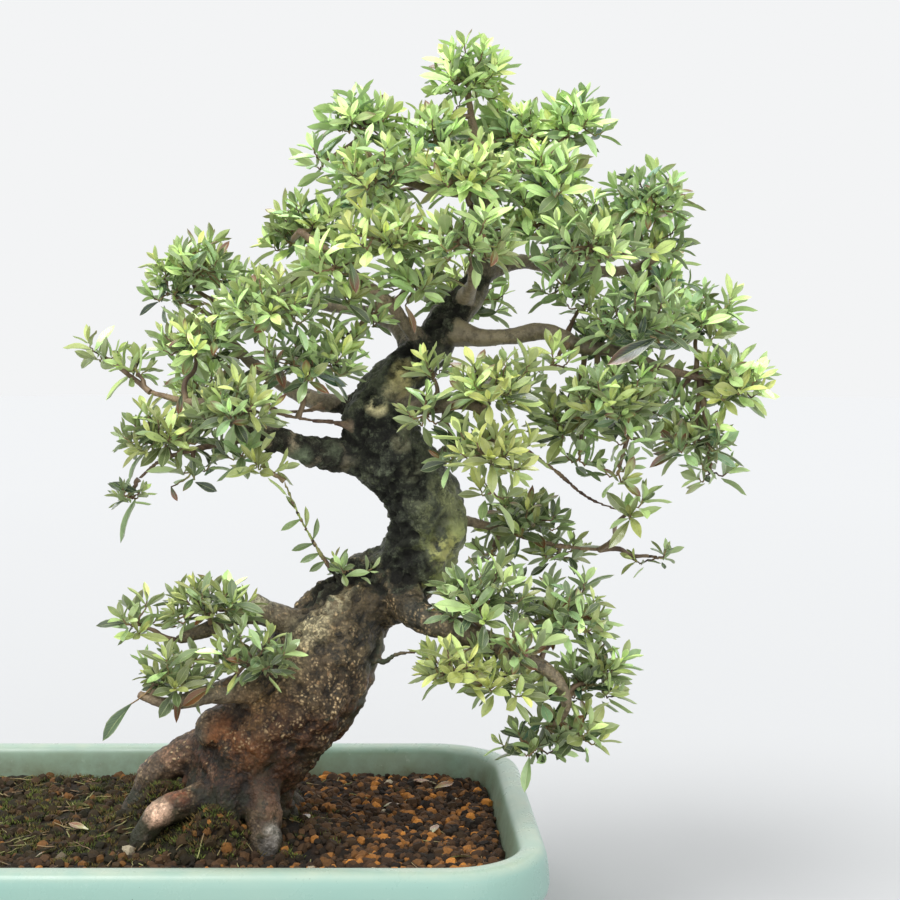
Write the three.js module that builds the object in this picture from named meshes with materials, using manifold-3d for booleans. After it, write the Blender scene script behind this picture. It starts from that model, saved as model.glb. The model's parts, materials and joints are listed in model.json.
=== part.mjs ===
// Satsuki azalea bonsai in a glazed tray pot.
// Millimetres, +Z up. The tree is laid out round the point where its trunk axis meets the soil,
// X along the pot and Y from front to back. At the end the group is moved so that the origin lies
// on the ground under the middle of the whole object.

import * as THREE from "three";
import { mergeVertices } from "three/addons/utils/BufferGeometryUtils.js";
import Module from "manifold-3d";

const wasm = await Module();
wasm.setup();

// Driving dimensions: the pot.
const potLength = 446;
const potDepth = 286;
const potHeight = 88;
const potMiddleX = -32;
const footHeight = 8;
const floorThickness = 10;
const rimWidth = 20;
const outerCornerRadius = 62;
const wallLean = 13;
const cornerSteps = 5;
const soilBelowRim = 17.5;
const footSize = [52, 36];
const footFromEnd = 78;
const footFromSide = 58;
const drainHoleRadius = 12.5;
const drainHoleOffset = 95;
const meshSide = 38;
const meshThickness = 1;
const meshHolesPerSide = 3;

// Driving dimensions: the fits and the leafy sprays.
const seatGap = 0.3;
const sprayStem = 6;
const stemRadius = 1.4;
const twigRadius = 1.1;
const leafLength = 21;
const leafWidth = 8.4;
const leafThickness = 1.1;
const leavesPerWhorl = 5;
const budHeight = 2.4;
const hubRadius = 2.6;
const whorlSpacing = 14;

const potBottom = soilBelowRim - potHeight;
const floorTop = potBottom + footHeight + floorThickness;
const up = new THREE.Vector3(0, 0, 1);

// Materials.
const glaze = new THREE.MeshStandardMaterial({ color: 0xa9d3c6, roughness: 0.28, metalness: 0 });
const bark = new THREE.MeshStandardMaterial({ color: 0x6d5f50, roughness: 0.9, metalness: 0 });
const akadama = new THREE.MeshStandardMaterial({ color: 0x7a4a28, roughness: 0.95, metalness: 0 });
const plastic = new THREE.MeshStandardMaterial({ color: 0x20242a, roughness: 0.6, metalness: 0 });
const foliage = new THREE.MeshStandardMaterial({ color: 0x5d8a3c, roughness: 0.55, metalness: 0 });

// Trunk and limbs: each is a list of [x, y, z, radius] along its axis.
const trunkPath = [
  [-6, 0, -35, 32], [0, 0, -4, 35], [6, 0, 24, 36], [20, -3, 58, 36], [42, -4, 88, 36],
  [62, 0, 120, 31], [76, 3, 138, 26], [90, 5, 147, 24.5], [106, 6, 158, 24], [117, 4, 173, 23],
  [123, 0, 191, 23.5], [119, -3, 208, 23.5], [110, -5, 222, 23.5], [97, -6, 240, 23],
  [90, -4, 256, 20.5], [92, -2, 270, 19], [104, 0, 284, 17], [118, 2, 296, 14.5],
  [134, 5, 317, 12], [147, 6, 331, 10], [156, 6, 348, 8], [160, 5, 368, 6.8], [158, 3, 395, 5],
  [152, 0, 425, 3.4], [146, 0, 460, 2],
];

const rootPaths = {
  left: [
    [-4, 4, 51, 16], [-30, 8, 45, 14], [-47, 8, 32, 11], [-60, 6, 11, 9], [-71, 2, -14, 7.5],
    [-76, 0, -34, 5],
  ],
  knob: [
    [-2, -22, 30, 15], [-23, -32, 29, 12], [-35, -38, 24, 10.5], [-48, -40, 13, 8], [-56, -42, -6, 6],
  ],
  front: [
    [18, -18, 41, 17], [21, -32, 26, 13], [24, -40, 10, 11.5], [24, -46, -8, 9.5], [22, -50, -30, 6],
  ],
  right: [[22, 6, 28, 18], [36, 14, 13, 13], [50, 18, -3, 8], [61, 20, -19, 4.5]],
  back: [[3, 24, 23, 18], [-4, 44, 10, 13], [-12, 60, -1, 9.5], [-21, 74, -16, 5.5]],
  rightBack: [[21, 24, 29, 15], [36, 40, 19, 11], [51, 54, 5, 7.5], [64, 64, -9, 4]],
};

const limbPaths = {
  lowLeftUpper: [
    [51, 0, 130, 16], [36, -8, 137, 10.5], [21, -14, 144, 8], [5, -22, 140, 6], [-12, -30, 131, 4.8],
    [-30, -34, 125, 3],
  ],
  lowLeftLower: [
    [21, -20, 92, 12], [-1, -34, 94, 8], [-17, -42, 92, 6], [-33, -48, 90, 3.6], [-51, -50, 96, 2.4],
  ],
  lowRight: [
    [104, -10, 150, 13], [120, -34, 139, 10], [142, -52, 133, 7.7], [166, -60, 125, 6],
    [192, -62, 112, 4.7], [203, -58, 93, 3.5], [195, -52, 74, 2.4],
  ],
  left: [
    [92, -4, 240, 18], [72, -10, 235, 10.4], [52, -18, 239, 9], [35, -26, 244, 7.8],
    [16, -30, 252, 6.6], [-5, -32, 266, 5.4], [-26, -30, 271, 3.6], [-45, -28, 275, 2.4],
  ],
  leftUpper: [
    [90, 2, 262, 13], [70, 14, 265, 7], [49, 26, 269, 5.7], [27, 36, 280, 4.5], [4, 40, 298, 3.9],
    [-14, 40, 320, 2.6],
  ],
  leftBack: [[106, 8, 292, 8], [94, 30, 306, 6], [61, 58, 320, 4.6], [34, 70, 332, 3.3]],
  upperLeft: [
    [122, -2, 302, 9], [108, -14, 315, 6], [100, -24, 327, 5.4], [84, -34, 339, 4.2],
    [64, -40, 356, 3], [46, -42, 370, 2.4],
  ],
  right: [
    [134, -4, 314, 10], [154, -14, 311, 5.6], [175, -22, 313, 5.4], [195, -26, 315, 5.4],
    [213, -26, 305, 4.8], [236, -24, 299, 4.2], [261, -20, 290, 3.6], [288, -16, 283, 2.4],
  ],
  rightUpper: [
    [156, 8, 346, 7], [179, 22, 355, 4.6], [203, 36, 353, 4.5], [230, 46, 350, 3.9],
    [257, 52, 352, 3.2], [280, 54, 363, 2.6],
  ],
  rightFront: [[203, 34, 353, 4], [213, 0, 356, 3.1], [216, -34, 355, 2.4]],
  centreRight: [[104, -8, 268, 8], [129, -42, 268, 4.7], [148, -56, 268, 3.5], [158, -62, 260, 2.9]],
  centreFront: [[144, 0, 330, 7], [148, -30, 340, 3.6], [146, -54, 348, 2.6]],
  back: [[155, 10, 350, 6.5], [159, 44, 356, 4.5], [155, 66, 353, 3.9], [151, 80, 342, 3.3]],
  crownFront: [[160, 0, 368, 5], [153, -28, 375, 3], [146, -44, 385, 2.3]],
  crownBack: [[158, 6, 386, 4.6], [161, 34, 397, 3.8], [158, 48, 411, 3.2]],
  topLeft: [
    [157, 2, 396, 4.4], [134, -20, 395, 3.6], [113, -28, 399, 3], [93, -26, 410, 2.4],
    [80, -16, 426, 2],
  ],
  topRight: [[156, 2, 400, 4.2], [172, -12, 405, 3], [189, -16, 414, 2.7], [206, -8, 428, 2.1]],
  midShoot: [
    [84, -4, 146, 6], [66, -12, 162, 2.6], [52, -18, 184, 2], [42, -28, 205, 1.8], [36, -38, 222, 1.6],
  ],
  midRightBack: [
    [122, 6, 195, 9], [142, 22, 192, 5], [157, 34, 188, 3.9], [174, 40, 183, 3.2], [203, 40, 173, 2.6],
    [235, 34, 170, 2],
  ],
  lowTwig: [
    [84, 0, 136, 8], [93, -6, 120, 3.4], [92, -10, 106, 2.6], [104, -20, 113, 1.8],
    [123, -34, 118, 1.4],
  ],
};

// Cut and broken ends left on the trunk.
const stumpPaths = {
  leftCut: [[46, -6, 132, 15], [30, -16, 146, 10], [20, -22, 150, 8]],
  deadKnob: [[2, -18, 62, 16], [-18, -26, 64, 10], [-30, -30, 69, 6], [-36, -31, 77, 3]],
  rightCut: [[82, -2, 142, 12], [91, -4, 124, 5], [92, -5, 114, 4.5]],
};

// Sprays of leaves: middle and half sizes of the space that each one fills.
const sprays = {
  apex: [[145, 0, 462], [22, 22, 22]],
  apex_left: [[116, -14, 430], [26, 24, 20]],
  apex_right: [[180, 12, 432], [26, 24, 20]],
  crown_front: [[143, -48, 400], [28, 24, 22]],
  crown_back: [[154, 56, 428], [30, 28, 24]],
  top_left: [[70, -8, 442], [26, 24, 20]],
  top_left_inner: [[92, -34, 403], [26, 24, 20]],
  top_left_back: [[83, 52, 399], [30, 28, 22]],
  top_right: [[218, 0, 444], [24, 24, 22]],
  top_right_inner: [[197, -38, 399], [28, 24, 22]],
  top_right_back: [[228, 62, 402], [30, 28, 24]],
  shoulder_left: [[52, 0, 388], [28, 26, 22]],
  shoulder_left_front: [[98, -52, 364], [28, 24, 20]],
  centre_front: [[145, -64, 360], [26, 22, 20]],
  shoulder_right: [[262, 0, 396], [26, 26, 20]],
  shoulder_right_front: [[215, -52, 360], [30, 26, 22]],
  left_top: [[-10, 4, 350], [32, 28, 22]],
  left_inner: [[28, -36, 324], [30, 26, 22]],
  left_back: [[16, 72, 337], [32, 28, 24]],
  left_mid: [[-24, -22, 304], [32, 28, 22]],
  left_tip: [[-70, -14, 302], [16, 12, 12]],
  left_low: [[-36, -26, 250], [30, 26, 20]],
  left_low_front: [[12, -58, 266], [28, 24, 20]],
  left_low_back: [[-18, 54, 272], [30, 28, 22]],
  left_droop: [[-62, -24, 212], [12, 10, 12]],
  left_hang: [[24, -46, 232], [12, 10, 10]],
  right_top: [[290, 2, 336], [30, 28, 24]],
  right_tip: [[315, -12, 284], [24, 24, 22]],
  right_inner: [[245, -42, 314], [30, 26, 22]],
  right_back: [[274, 74, 340], [32, 28, 24]],
  right_mid: [[232, -38, 272], [30, 26, 22]],
  right_low: [[288, -12, 243], [24, 22, 20]],
  right_low_back: [[256, 58, 261], [30, 26, 22]],
  right_hang: [[234, -22, 226], [18, 16, 14]],
  centre_right: [[162, -62, 281], [28, 24, 20]],
  centre_right_low: [[158, -70, 244], [26, 22, 18]],
  back_centre: [[149, 88, 333], [30, 26, 22]],
  mid_right_back: [[186, 46, 194], [30, 26, 20]],
  mid_right_tip: [[260, 30, 174], [22, 14, 10]],
  low_right_upper: [[152, -58, 153], [28, 24, 20]],
  low_right_outer: [[203, -50, 139], [28, 26, 22]],
  low_right_inner: [[137, -74, 118], [22, 20, 16]],
  low_right_lower: [[220, -46, 101], [22, 20, 16]],
  low_right_end: [[192, -52, 66], [22, 20, 14]],
  low_left_upper: [[-6, -40, 148], [28, 24, 20]],
  low_left_inner: [[16, -54, 117], [24, 20, 18]],
  low_left_outer: [[-48, -36, 127], [20, 18, 20]],
  low_left_end: [[-46, -50, 92], [16, 12, 10]],
  mid_shoot: [[66, -16, 172], [18, 10, 10]],
};

// A repeatable row of numbers from 0 to 1.
function makeRandom(seed) {
  let state = Math.imul(seed + 11, 2654435761) >>> 0;
  return () => {
    state = (Math.imul(state, 1664525) + 1013904223) >>> 0;
    return state / 4294967296;
  };
}

function toSolid(geometry) {
  const bare = geometry.clone();
  for (const attribute of ["normal", "uv"]) {
    bare.deleteAttribute(attribute);
  }
  const merged = mergeVertices(bare, 0.0005);
  return new wasm.Manifold(new wasm.Mesh({
    numProp: 3,
    vertProperties: merged.attributes.position.array,
    triVerts: merged.index.array,
  }));
}

function toMesh(name, solid, material) {
  const { vertProperties, triVerts } = solid.getMesh();
  const geometry = new THREE.BufferGeometry();
  geometry.setAttribute("position", new THREE.BufferAttribute(vertProperties, 3));
  geometry.setIndex(new THREE.BufferAttribute(triVerts, 1));
  geometry.computeVertexNormals();
  const mesh = new THREE.Mesh(geometry, material);
  mesh.name = name;
  return mesh;
}

// One body from many, without loose scraps, sealed hollows or edges finer than the tolerance.
function grown(solids, tolerance) {
  const whole = wasm.Manifold.union(solids).asOriginal().simplify(tolerance);
  return whole.decompose().reduce((best, part) => (part.volume() > best.volume() ? part : best));
}

// Moves every vertex of a geometry to the place that a function gives.
function reshape(geometry, place) {
  const position = geometry.attributes.position;
  const point = new THREE.Vector3();
  for (let i = 0; i < position.count; i += 1) {
    point.fromBufferAttribute(position, i);
    const moved = place(point.clone());
    position.setXYZ(i, moved.x, moved.y, moved.z);
  }
  return geometry;
}

// A tapered, slightly fluted round along a path, closed with flat ends.
function woodSolid(path, sides, steps, { flute = 0, swell = 0 } = {}) {
  const points = path.map(([x, y, z]) => new THREE.Vector3(x, y, z));
  const curve = new THREE.CatmullRomCurve3(points, false, "centripetal");
  const frames = curve.computeFrenetFrames(steps, false);
  const last = path.length - 1;
  const geometry = new THREE.CylinderGeometry(1, 1, 1, sides, steps);
  return toSolid(reshape(geometry, ({ x, y, z }) => {
    const station = Math.round((0.5 - y) * steps);
    const along = curve.getUtoTmapping(station / steps) * last;
    const before = Math.min(Math.floor(along), last - 1);
    const radius = THREE.MathUtils.lerp(path[before][3], path[before + 1][3], along - before) + swell;
    const turn = Math.atan2(z, x);
    const wave = Math.sin(3 * turn + 0.35 * station) + 0.6 * Math.sin(5 * turn - 0.6 * station);
    const ridge = 1 + flute * wave;
    const place = curve.getPointAt(station / steps);
    place.addScaledVector(frames.normals[station], x * radius * ridge);
    place.addScaledVector(frames.binormals[station], z * radius * ridge);
    if (station === steps) {
      place.addScaledVector(frames.tangents[station], swell);
    }
    return place;
  }));
}

// A rounded rectangle swept through rings of [inset from the rim's outer edge, height].
function trayLoft(rings) {
  const perCorner = cornerSteps + 1;
  const geometry = new THREE.CylinderGeometry(1, 1, 1, 4 * perCorner, rings.length - 1);
  geometry.rotateX(Math.PI / 2);
  return toSolid(reshape(geometry, ({ x, y, z }) => {
    const [inset, height] = rings[Math.round((z + 0.5) * (rings.length - 1))];
    if (Math.hypot(x, y) < 0.5) {
      return new THREE.Vector3(potMiddleX, 0, height);
    }
    const share = THREE.MathUtils.euclideanModulo(Math.atan2(y, x) / (Math.PI * 2), 1);
    const index = Math.round(share * 4 * perCorner) % (4 * perCorner);
    const corner = Math.floor(index / perCorner);
    const angle = (corner + (index % perCorner) / cornerSteps) * Math.PI / 2;
    const radius = outerCornerRadius - inset;
    const sideX = corner === 0 || corner === 3 ? 1 : -1;
    const sideY = corner < 2 ? 1 : -1;
    return new THREE.Vector3(
      potMiddleX + sideX * (potLength / 2 - outerCornerRadius) + radius * Math.cos(angle),
      sideY * (potDepth / 2 - outerCornerRadius) + radius * Math.sin(angle),
      height,
    );
  }));
}

function boxSolid(size, middle) {
  const geometry = new THREE.BoxGeometry(...size);
  geometry.translate(...middle);
  return toSolid(geometry);
}

// Inset of the pot's inner wall at a height between the floor and the rim's inner edge.
const innerWallTop = soilBelowRim - 8;
function wallInset(height) {
  return THREE.MathUtils.mapLinear(height, floorTop, innerWallTop, rimWidth + wallLean, rimWidth);
}

function makePot() {
  const rim = soilBelowRim;
  const body = trayLoft([
    [26, potBottom + footHeight],
    [11, rim - 34],
    [3.5, rim - 30],
    [0, rim - 22],
    [1.5, rim - 8],
    [4.5, rim - 1.5],
    [8, rim],
  ]);
  const hollow = trayLoft([
    [rimWidth + wallLean, floorTop],
    [rimWidth, innerWallTop],
    [rimWidth - 1.5, rim - 2],
    [rimWidth - 5, rim],
    [rimWidth - 5, rim + 5],
  ]);
  const footReach = footHeight + 3;
  const feet = [];
  for (const sideX of [-1, 1]) {
    for (const sideY of [-1, 1]) {
      const middle = [
        potMiddleX + sideX * (potLength / 2 - footFromEnd),
        sideY * (potDepth / 2 - footFromSide),
        potBottom + footReach / 2,
      ];
      feet.push(boxSolid([...footSize, footReach], middle));
    }
  }
  let pot = wasm.Manifold.union([body, ...feet]).subtract(hollow);
  for (const side of [-1, 1]) {
    const hole = new THREE.CylinderGeometry(drainHoleRadius, drainHoleRadius, 3 * floorThickness, 12);
    hole.rotateX(Math.PI / 2);
    hole.translate(potMiddleX + side * drainHoleOffset, 0, floorTop - floorThickness / 2);
    pot = pot.subtract(toSolid(hole));
  }
  return toMesh("pot", pot, glaze);
}

function makeDrainageMesh(name, side) {
  const middleX = potMiddleX + side * drainHoleOffset;
  const middleZ = floorTop + seatGap + meshThickness / 2;
  const pitch = meshSide / meshHolesPerSide;
  const holeSize = [0.64 * pitch, 0.64 * pitch, 3 * meshThickness];
  let sheet = boxSolid([meshSide, meshSide, meshThickness], [middleX, 0, middleZ]);
  for (let column = 0; column < meshHolesPerSide; column += 1) {
    for (let row = 0; row < meshHolesPerSide; row += 1) {
      const x = middleX + (column + 0.5) * pitch - meshSide / 2;
      const y = (row + 0.5) * pitch - meshSide / 2;
      sheet = sheet.subtract(boxSolid(holeSize, [x, y, middleZ]));
    }
  }
  return toMesh(name, sheet, plastic);
}

// Height of the soil's surface, low at the walls and mounded round the roots.
function soilHeight(x, y, random) {
  const mound = 5 * Math.exp(-((x + 10) ** 2 + y ** 2) / (2 * 75 ** 2));
  const roll = 1.4 * Math.sin(x / 31 + 1) * Math.cos(y / 23) - 2.2;
  return mound + roll + 1.6 * (random() - 0.5);
}

function makeSoil(rootsAndTrunk) {
  const columns = 16;
  const rows = 10;
  const wallGap = 0.8;
  const deepestDip = 4.5;
  const random = makeRandom(5);
  const heights = new Map();
  const geometry = new THREE.BoxGeometry(2, 2, 1, columns, rows, 1);
  let soil = toSolid(reshape(geometry, ({ x, y, z }) => {
    const surface = z > 0;
    const height = surface ? 0 : floorTop + seatGap;
    const inset = wallInset(surface ? -deepestDip : height) + wallGap;
    const radius = outerCornerRadius - inset;
    const halfX = potLength / 2 - inset;
    const halfY = potDepth / 2 - inset;
    const place = new THREE.Vector3(x * halfX, y * halfY, height);
    const overX = (Math.abs(place.x) - (halfX - radius)) / radius;
    const overY = (Math.abs(place.y) - (halfY - radius)) / radius;
    if (overX > 0 && overY > 0) {
      const pull = Math.max(overX, overY) / Math.hypot(overX, overY);
      place.x = Math.sign(x) * (halfX - radius + overX * pull * radius);
      place.y = Math.sign(y) * (halfY - radius + overY * pull * radius);
    }
    place.x += potMiddleX;
    if (surface) {
      const key = `${x.toFixed(3)} ${y.toFixed(3)}`;
      if (!heights.has(key)) {
        heights.set(key, soilHeight(place.x, place.y, random));
      }
      place.z = heights.get(key);
    }
    return place;
  }));
  soil = soil.subtract(rootsAndTrunk);
  for (const side of [-1, 1]) {
    const pocket = meshSide + 2 * seatGap;
    const depth = meshThickness + 3 * seatGap;
    const middle = [potMiddleX + side * drainHoleOffset, 0, floorTop + depth / 2];
    soil = soil.subtract(boxSolid([pocket, pocket, depth], middle));
  }
  return toMesh("soil", soil.asOriginal().simplify(0.1), akadama);
}

// The trunk and its roots, swollen a little where the soil is cleared for them.
function baseSolid(swell) {
  const parts = [woodSolid(trunkPath, 11, 38, { flute: 0.035, swell })];
  for (const path of Object.values(rootPaths)) {
    parts.push(woodSolid(path, 7, 6, { flute: 0.04, swell }));
  }
  return wasm.Manifold.union(parts);
}

// Nearest point on the tree's limbs and upper trunk to a spray's middle. Limbs carry sprays on
// their outer part only.
const upperTrunkFrom = 16;
const bareShare = 0.3;
function findCarrier(middle) {
  let best = null;
  const carriers = [trunkPath.slice(upperTrunkFrom), ...Object.values(limbPaths)];
  for (const path of carriers) {
    const points = path.map(([x, y, z]) => new THREE.Vector3(x, y, z));
    const curve = new THREE.CatmullRomCurve3(points, false, "centripetal");
    const samples = 40;
    for (let i = Math.round(samples * bareShare); i <= samples; i += 1) {
      const along = (i / samples) * (path.length - 1);
      const before = Math.min(Math.floor(along), path.length - 2);
      const radius = THREE.MathUtils.lerp(path[before][3], path[before + 1][3], along - before);
      const point = curve.getPoint(i / samples);
      const distance = point.distanceTo(middle);
      if (best === null || distance < best.distance) {
        best = { point, radius, distance };
      }
    }
  }
  return best;
}

// Where a spray's twig leaves the tree and where its fork lies.
function layTwig([middleXyz, halfSizes]) {
  const middle = new THREE.Vector3(...middleXyz);
  const carrier = findCarrier(middle);
  const direction = middle.clone().sub(carrier.point);
  if (direction.length() < 2) {
    direction.copy(up);
  }
  direction.normalize();
  const reach = Math.max(carrier.distance, carrier.radius + sprayStem + 4);
  const at = (distance) => carrier.point.clone().addScaledVector(direction, distance);
  return {
    foot: carrier.point,
    end: at(reach - sprayStem - seatGap),
    start: at(reach - sprayStem),
    fork: at(reach),
    halfSizes: new THREE.Vector3(...halfSizes),
  };
}

// A straight twig between two points.
function twigSolid(from, to, radiusFrom, radiusTo, sides) {
  const length = from.distanceTo(to);
  const geometry = new THREE.CylinderGeometry(radiusTo, radiusFrom, length, sides);
  const turn = new THREE.Quaternion().setFromUnitVectors(
    new THREE.Vector3(0, 1, 0),
    to.clone().sub(from).normalize(),
  );
  geometry.applyQuaternion(turn);
  const middle = from.clone().add(to).multiplyScalar(0.5);
  geometry.translate(middle.x, middle.y, middle.z);
  return toSolid(geometry);
}

function makeTrunk(base, twigs) {
  const parts = [base];
  for (const path of Object.values(limbPaths)) {
    parts.push(woodSolid(path, 5, path.length, { flute: 0.02 }));
  }
  for (const path of Object.values(stumpPaths)) {
    parts.push(woodSolid(path, 6, 3, { flute: 0.06 }));
  }
  for (const { foot, end } of Object.values(twigs)) {
    parts.push(twigSolid(foot, end, 1.4 * stemRadius, 1.1 * stemRadius, 4));
  }
  return grown(parts, 0.4);
}

// A whorl of leaves on its own twig, closed, each leaf keeled along its rib. It is made in its own
// frame: the whorl at the origin, +Z along the shoot, and the twig's foot at a given point.
function whorlGeometry(scale, foot, random) {
  const points = [new THREE.Vector3(0, 0, budHeight * scale), foot];
  const sector = Math.PI * 2 / leavesPerWhorl;
  const footTurn = new THREE.Quaternion().setFromUnitVectors(up, foot.clone().normalize().negate());
  for (let leaf = 0; leaf < leavesPerWhorl; leaf += 1) {
    const turn = leaf * sector + (random() - 0.5) * 0.3 * sector;
    const lift = 0.2 + 0.5 * random();
    const length = leafLength * scale * (0.85 + 0.3 * random());
    const halfWidth = leafWidth / 2 * scale * (0.9 + 0.2 * random());
    const droop = 0.14 * length * random();
    const along = new THREE.Vector3(Math.cos(turn), Math.sin(turn), Math.tan(lift)).normalize();
    const side = new THREE.Vector3(-Math.sin(turn), Math.cos(turn), 0);
    const face = along.clone().cross(side);
    const put = (distance, across, rise) => new THREE.Vector3(Math.cos(turn), Math.sin(turn), 0)
      .multiplyScalar(0.8 * hubRadius * scale)
      .addScaledVector(along, distance)
      .addScaledVector(side, across)
      .addScaledVector(face, rise);
    const cleftTurn = (leaf - 0.5) * sector;
    const cleft = new THREE.Vector3(Math.cos(cleftTurn), Math.sin(cleftTurn), 0);
    points.push(
      cleft.clone().multiplyScalar(hubRadius * scale),
      put(0.45 * length, -halfWidth, 0.5 - 0.35 * droop),
      put(length, 0, -droop),
      put(0.45 * length, halfWidth, 0.5 - 0.35 * droop),
      put(0.4 * length, 0, -0.4 * droop - leafThickness),
      cleft.clone().multiplyScalar(twigRadius).setZ(-budHeight * scale),
      cleft.clone().multiplyScalar(twigRadius).applyQuaternion(footTurn).add(foot),
    );
  }
  const faces = [];
  const perLeaf = 7;
  for (let leaf = 0; leaf < leavesPerWhorl; leaf += 1) {
    const first = 2 + perLeaf * leaf;
    const next = 2 + perLeaf * ((leaf + 1) % leavesPerWhorl);
    const [cleft, right, tip, left, rib, collar, heel] = [0, 1, 2, 3, 4, 5, 6].map((n) => first + n);
    const [nextCleft, nextCollar, nextHeel] = [next, next + 5, next + 6];
    faces.push(0, cleft, nextCleft);
    faces.push(cleft, right, tip);
    faces.push(cleft, tip, nextCleft);
    faces.push(nextCleft, tip, left);
    const underside = [collar, nextCollar, nextCleft, left, tip, right, cleft];
    for (const [i, from] of underside.entries()) {
      faces.push(from, underside[(i + 1) % underside.length], rib);
    }
    faces.push(collar, heel, nextHeel);
    faces.push(collar, nextHeel, nextCollar);
    faces.push(heel, 1, nextHeel);
  }
  const geometry = new THREE.BufferGeometry().setFromPoints(points);
  geometry.setIndex(faces);
  return geometry;
}

function whorlSolid(foot, place, axis, spin, scale, random) {
  const turn = new THREE.Quaternion().setFromUnitVectors(up, axis);
  turn.multiply(new THREE.Quaternion().setFromAxisAngle(up, spin));
  const footInside = foot.clone().sub(place).applyQuaternion(turn.clone().invert());
  const geometry = whorlGeometry(scale, footInside, random);
  geometry.applyQuaternion(turn);
  geometry.translate(place.x, place.y, place.z);
  return toSolid(geometry);
}

function isClear(solid, others) {
  const box = solid.boundingBox();
  return others.every((other) => {
    for (const axis of [0, 1, 2]) {
      if (box.min[axis] > other.box.max[axis] || box.max[axis] < other.box.min[axis]) {
        return true;
      }
    }
    return solid.intersect(other.solid).isEmpty();
  });
}

// Directions spread evenly over a ball, leaving out those that point steeply down.
function spreadDirection(index, count, turn) {
  const height = 0.95 - 1.45 * (index + 0.5) / count;
  const ring = Math.sqrt(1 - height * height);
  const angle = turn + index * Math.PI * (3 - Math.sqrt(5));
  return new THREE.Vector3(ring * Math.cos(angle), ring * Math.sin(angle), height);
}

function whorlCount(halfSizes) {
  const size = halfSizes.x + halfSizes.y;
  if (size < 30) {
    return 1;
  }
  if (size < 46) {
    return 2;
  }
  return size < 56 ? 3 : 4;
}

// A forked twig with a whorl of leaves on each tip. Each whorl is tried in new places, nearer the
// fork each time, until it is clear of the wood, of the other sprays and at first of its own spray.
function makeSpray(twig, seed, others) {
  const random = makeRandom(seed);
  const stem = twigSolid(twig.start, twig.fork, stemRadius, stemRadius, 5);
  const parts = [stem];
  const count = whorlCount(twig.halfSizes);
  const places = [];
  const own = [];
  const knot = boxSolid([14, 14, 14], twig.fork.toArray());
  const tries = 60;
  for (let attempt = 0; attempt < tries && places.length < count; attempt += 1) {
    const fan = spreadDirection(places.length + (attempt % 3) * 0.4, count, random() * Math.PI * 2);
    const shrink = 1 - 0.3 * attempt / tries;
    const branch = fan.clone().multiply(twig.halfSizes).multiplyScalar(0.56 * shrink);
    branch.clampLength(9, Infinity);
    const place = twig.fork.clone().add(branch);
    const axis = branch.clone().normalize().addScaledVector(up, 0.7).normalize();
    const scale = shrink * (0.92 + 0.16 * random());
    const whorl = whorlSolid(twig.fork, place, axis, random() * Math.PI, scale, random);
    const apart = places.every((other) => other.distanceTo(place) > whorlSpacing);
    const crossing = attempt < tries / 2 ? own : [];
    if (apart && isClear(whorl, others) && isClear(whorl, crossing)) {
      parts.push(whorl);
      places.push(place);
      const leaves = whorl.subtract(knot);
      own.push({ solid: leaves, box: leaves.boundingBox() });
    }
  }
  return grown(parts, 0.15);
}

const twigs = {};
for (const [name, spray] of Object.entries(sprays)) {
  twigs[name] = layTwig(spray);
}

const group = new THREE.Group();
group.add(makePot());
group.add(makeDrainageMesh("drainage_mesh_left", -1));
group.add(makeDrainageMesh("drainage_mesh_right", 1));
group.add(makeSoil(baseSolid(seatGap + 0.1)));

const trunk = makeTrunk(baseSolid(0), twigs);
group.add(toMesh("trunk", trunk, bark));

const others = [{ solid: trunk, box: trunk.boundingBox() }];
for (const [index, [name, twig]] of Object.entries(twigs).entries()) {
  const spray = makeSpray(twig, index, others);
  others.push({ solid: spray, box: spray.boundingBox() });
  group.add(toMesh(`spray_${name}`, spray, foliage));
}

const whole = new THREE.Box3().setFromObject(group);
const middle = whole.getCenter(new THREE.Vector3());
group.position.set(-middle.x, -middle.y, -whole.min.z);

export default group;
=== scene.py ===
import json
import math
import random

import bpy
import numpy as np
from mathutils import Matrix, Quaternion, Vector, noise

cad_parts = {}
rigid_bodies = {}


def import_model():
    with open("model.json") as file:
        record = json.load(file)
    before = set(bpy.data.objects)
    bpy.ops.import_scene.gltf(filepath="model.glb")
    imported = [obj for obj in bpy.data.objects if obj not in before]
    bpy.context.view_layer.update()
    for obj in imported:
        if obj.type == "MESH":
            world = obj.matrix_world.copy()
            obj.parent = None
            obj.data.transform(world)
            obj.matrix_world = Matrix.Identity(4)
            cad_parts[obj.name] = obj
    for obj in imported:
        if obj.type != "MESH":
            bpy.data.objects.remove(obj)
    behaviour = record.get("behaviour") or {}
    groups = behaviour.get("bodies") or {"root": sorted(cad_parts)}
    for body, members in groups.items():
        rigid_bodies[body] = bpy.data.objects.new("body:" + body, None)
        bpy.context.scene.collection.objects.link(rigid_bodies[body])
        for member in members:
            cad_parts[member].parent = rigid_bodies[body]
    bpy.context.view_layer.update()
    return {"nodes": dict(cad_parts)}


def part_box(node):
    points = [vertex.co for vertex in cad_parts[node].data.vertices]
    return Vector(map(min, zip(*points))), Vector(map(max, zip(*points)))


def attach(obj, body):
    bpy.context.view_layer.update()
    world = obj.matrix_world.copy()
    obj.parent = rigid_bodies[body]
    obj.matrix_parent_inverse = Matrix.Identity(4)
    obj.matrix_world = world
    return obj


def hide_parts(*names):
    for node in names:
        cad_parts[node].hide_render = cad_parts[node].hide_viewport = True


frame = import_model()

# The tree is laid out in millimetres round the point where the trunk's axis meets the soil.
mm = 0.001
potLow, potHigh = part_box("pot")
potMiddle = (potLow + potHigh) / 2
treeShift = 32                         # from the pot's middle to the trunk, in millimetres
soilDepth = 17.5                       # from the rim down to the soil
treeFoot = Vector((potMiddle.x + treeShift * mm, 0, potHigh.z - soilDepth * mm))
up = Vector((0, 0, 1))
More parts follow.
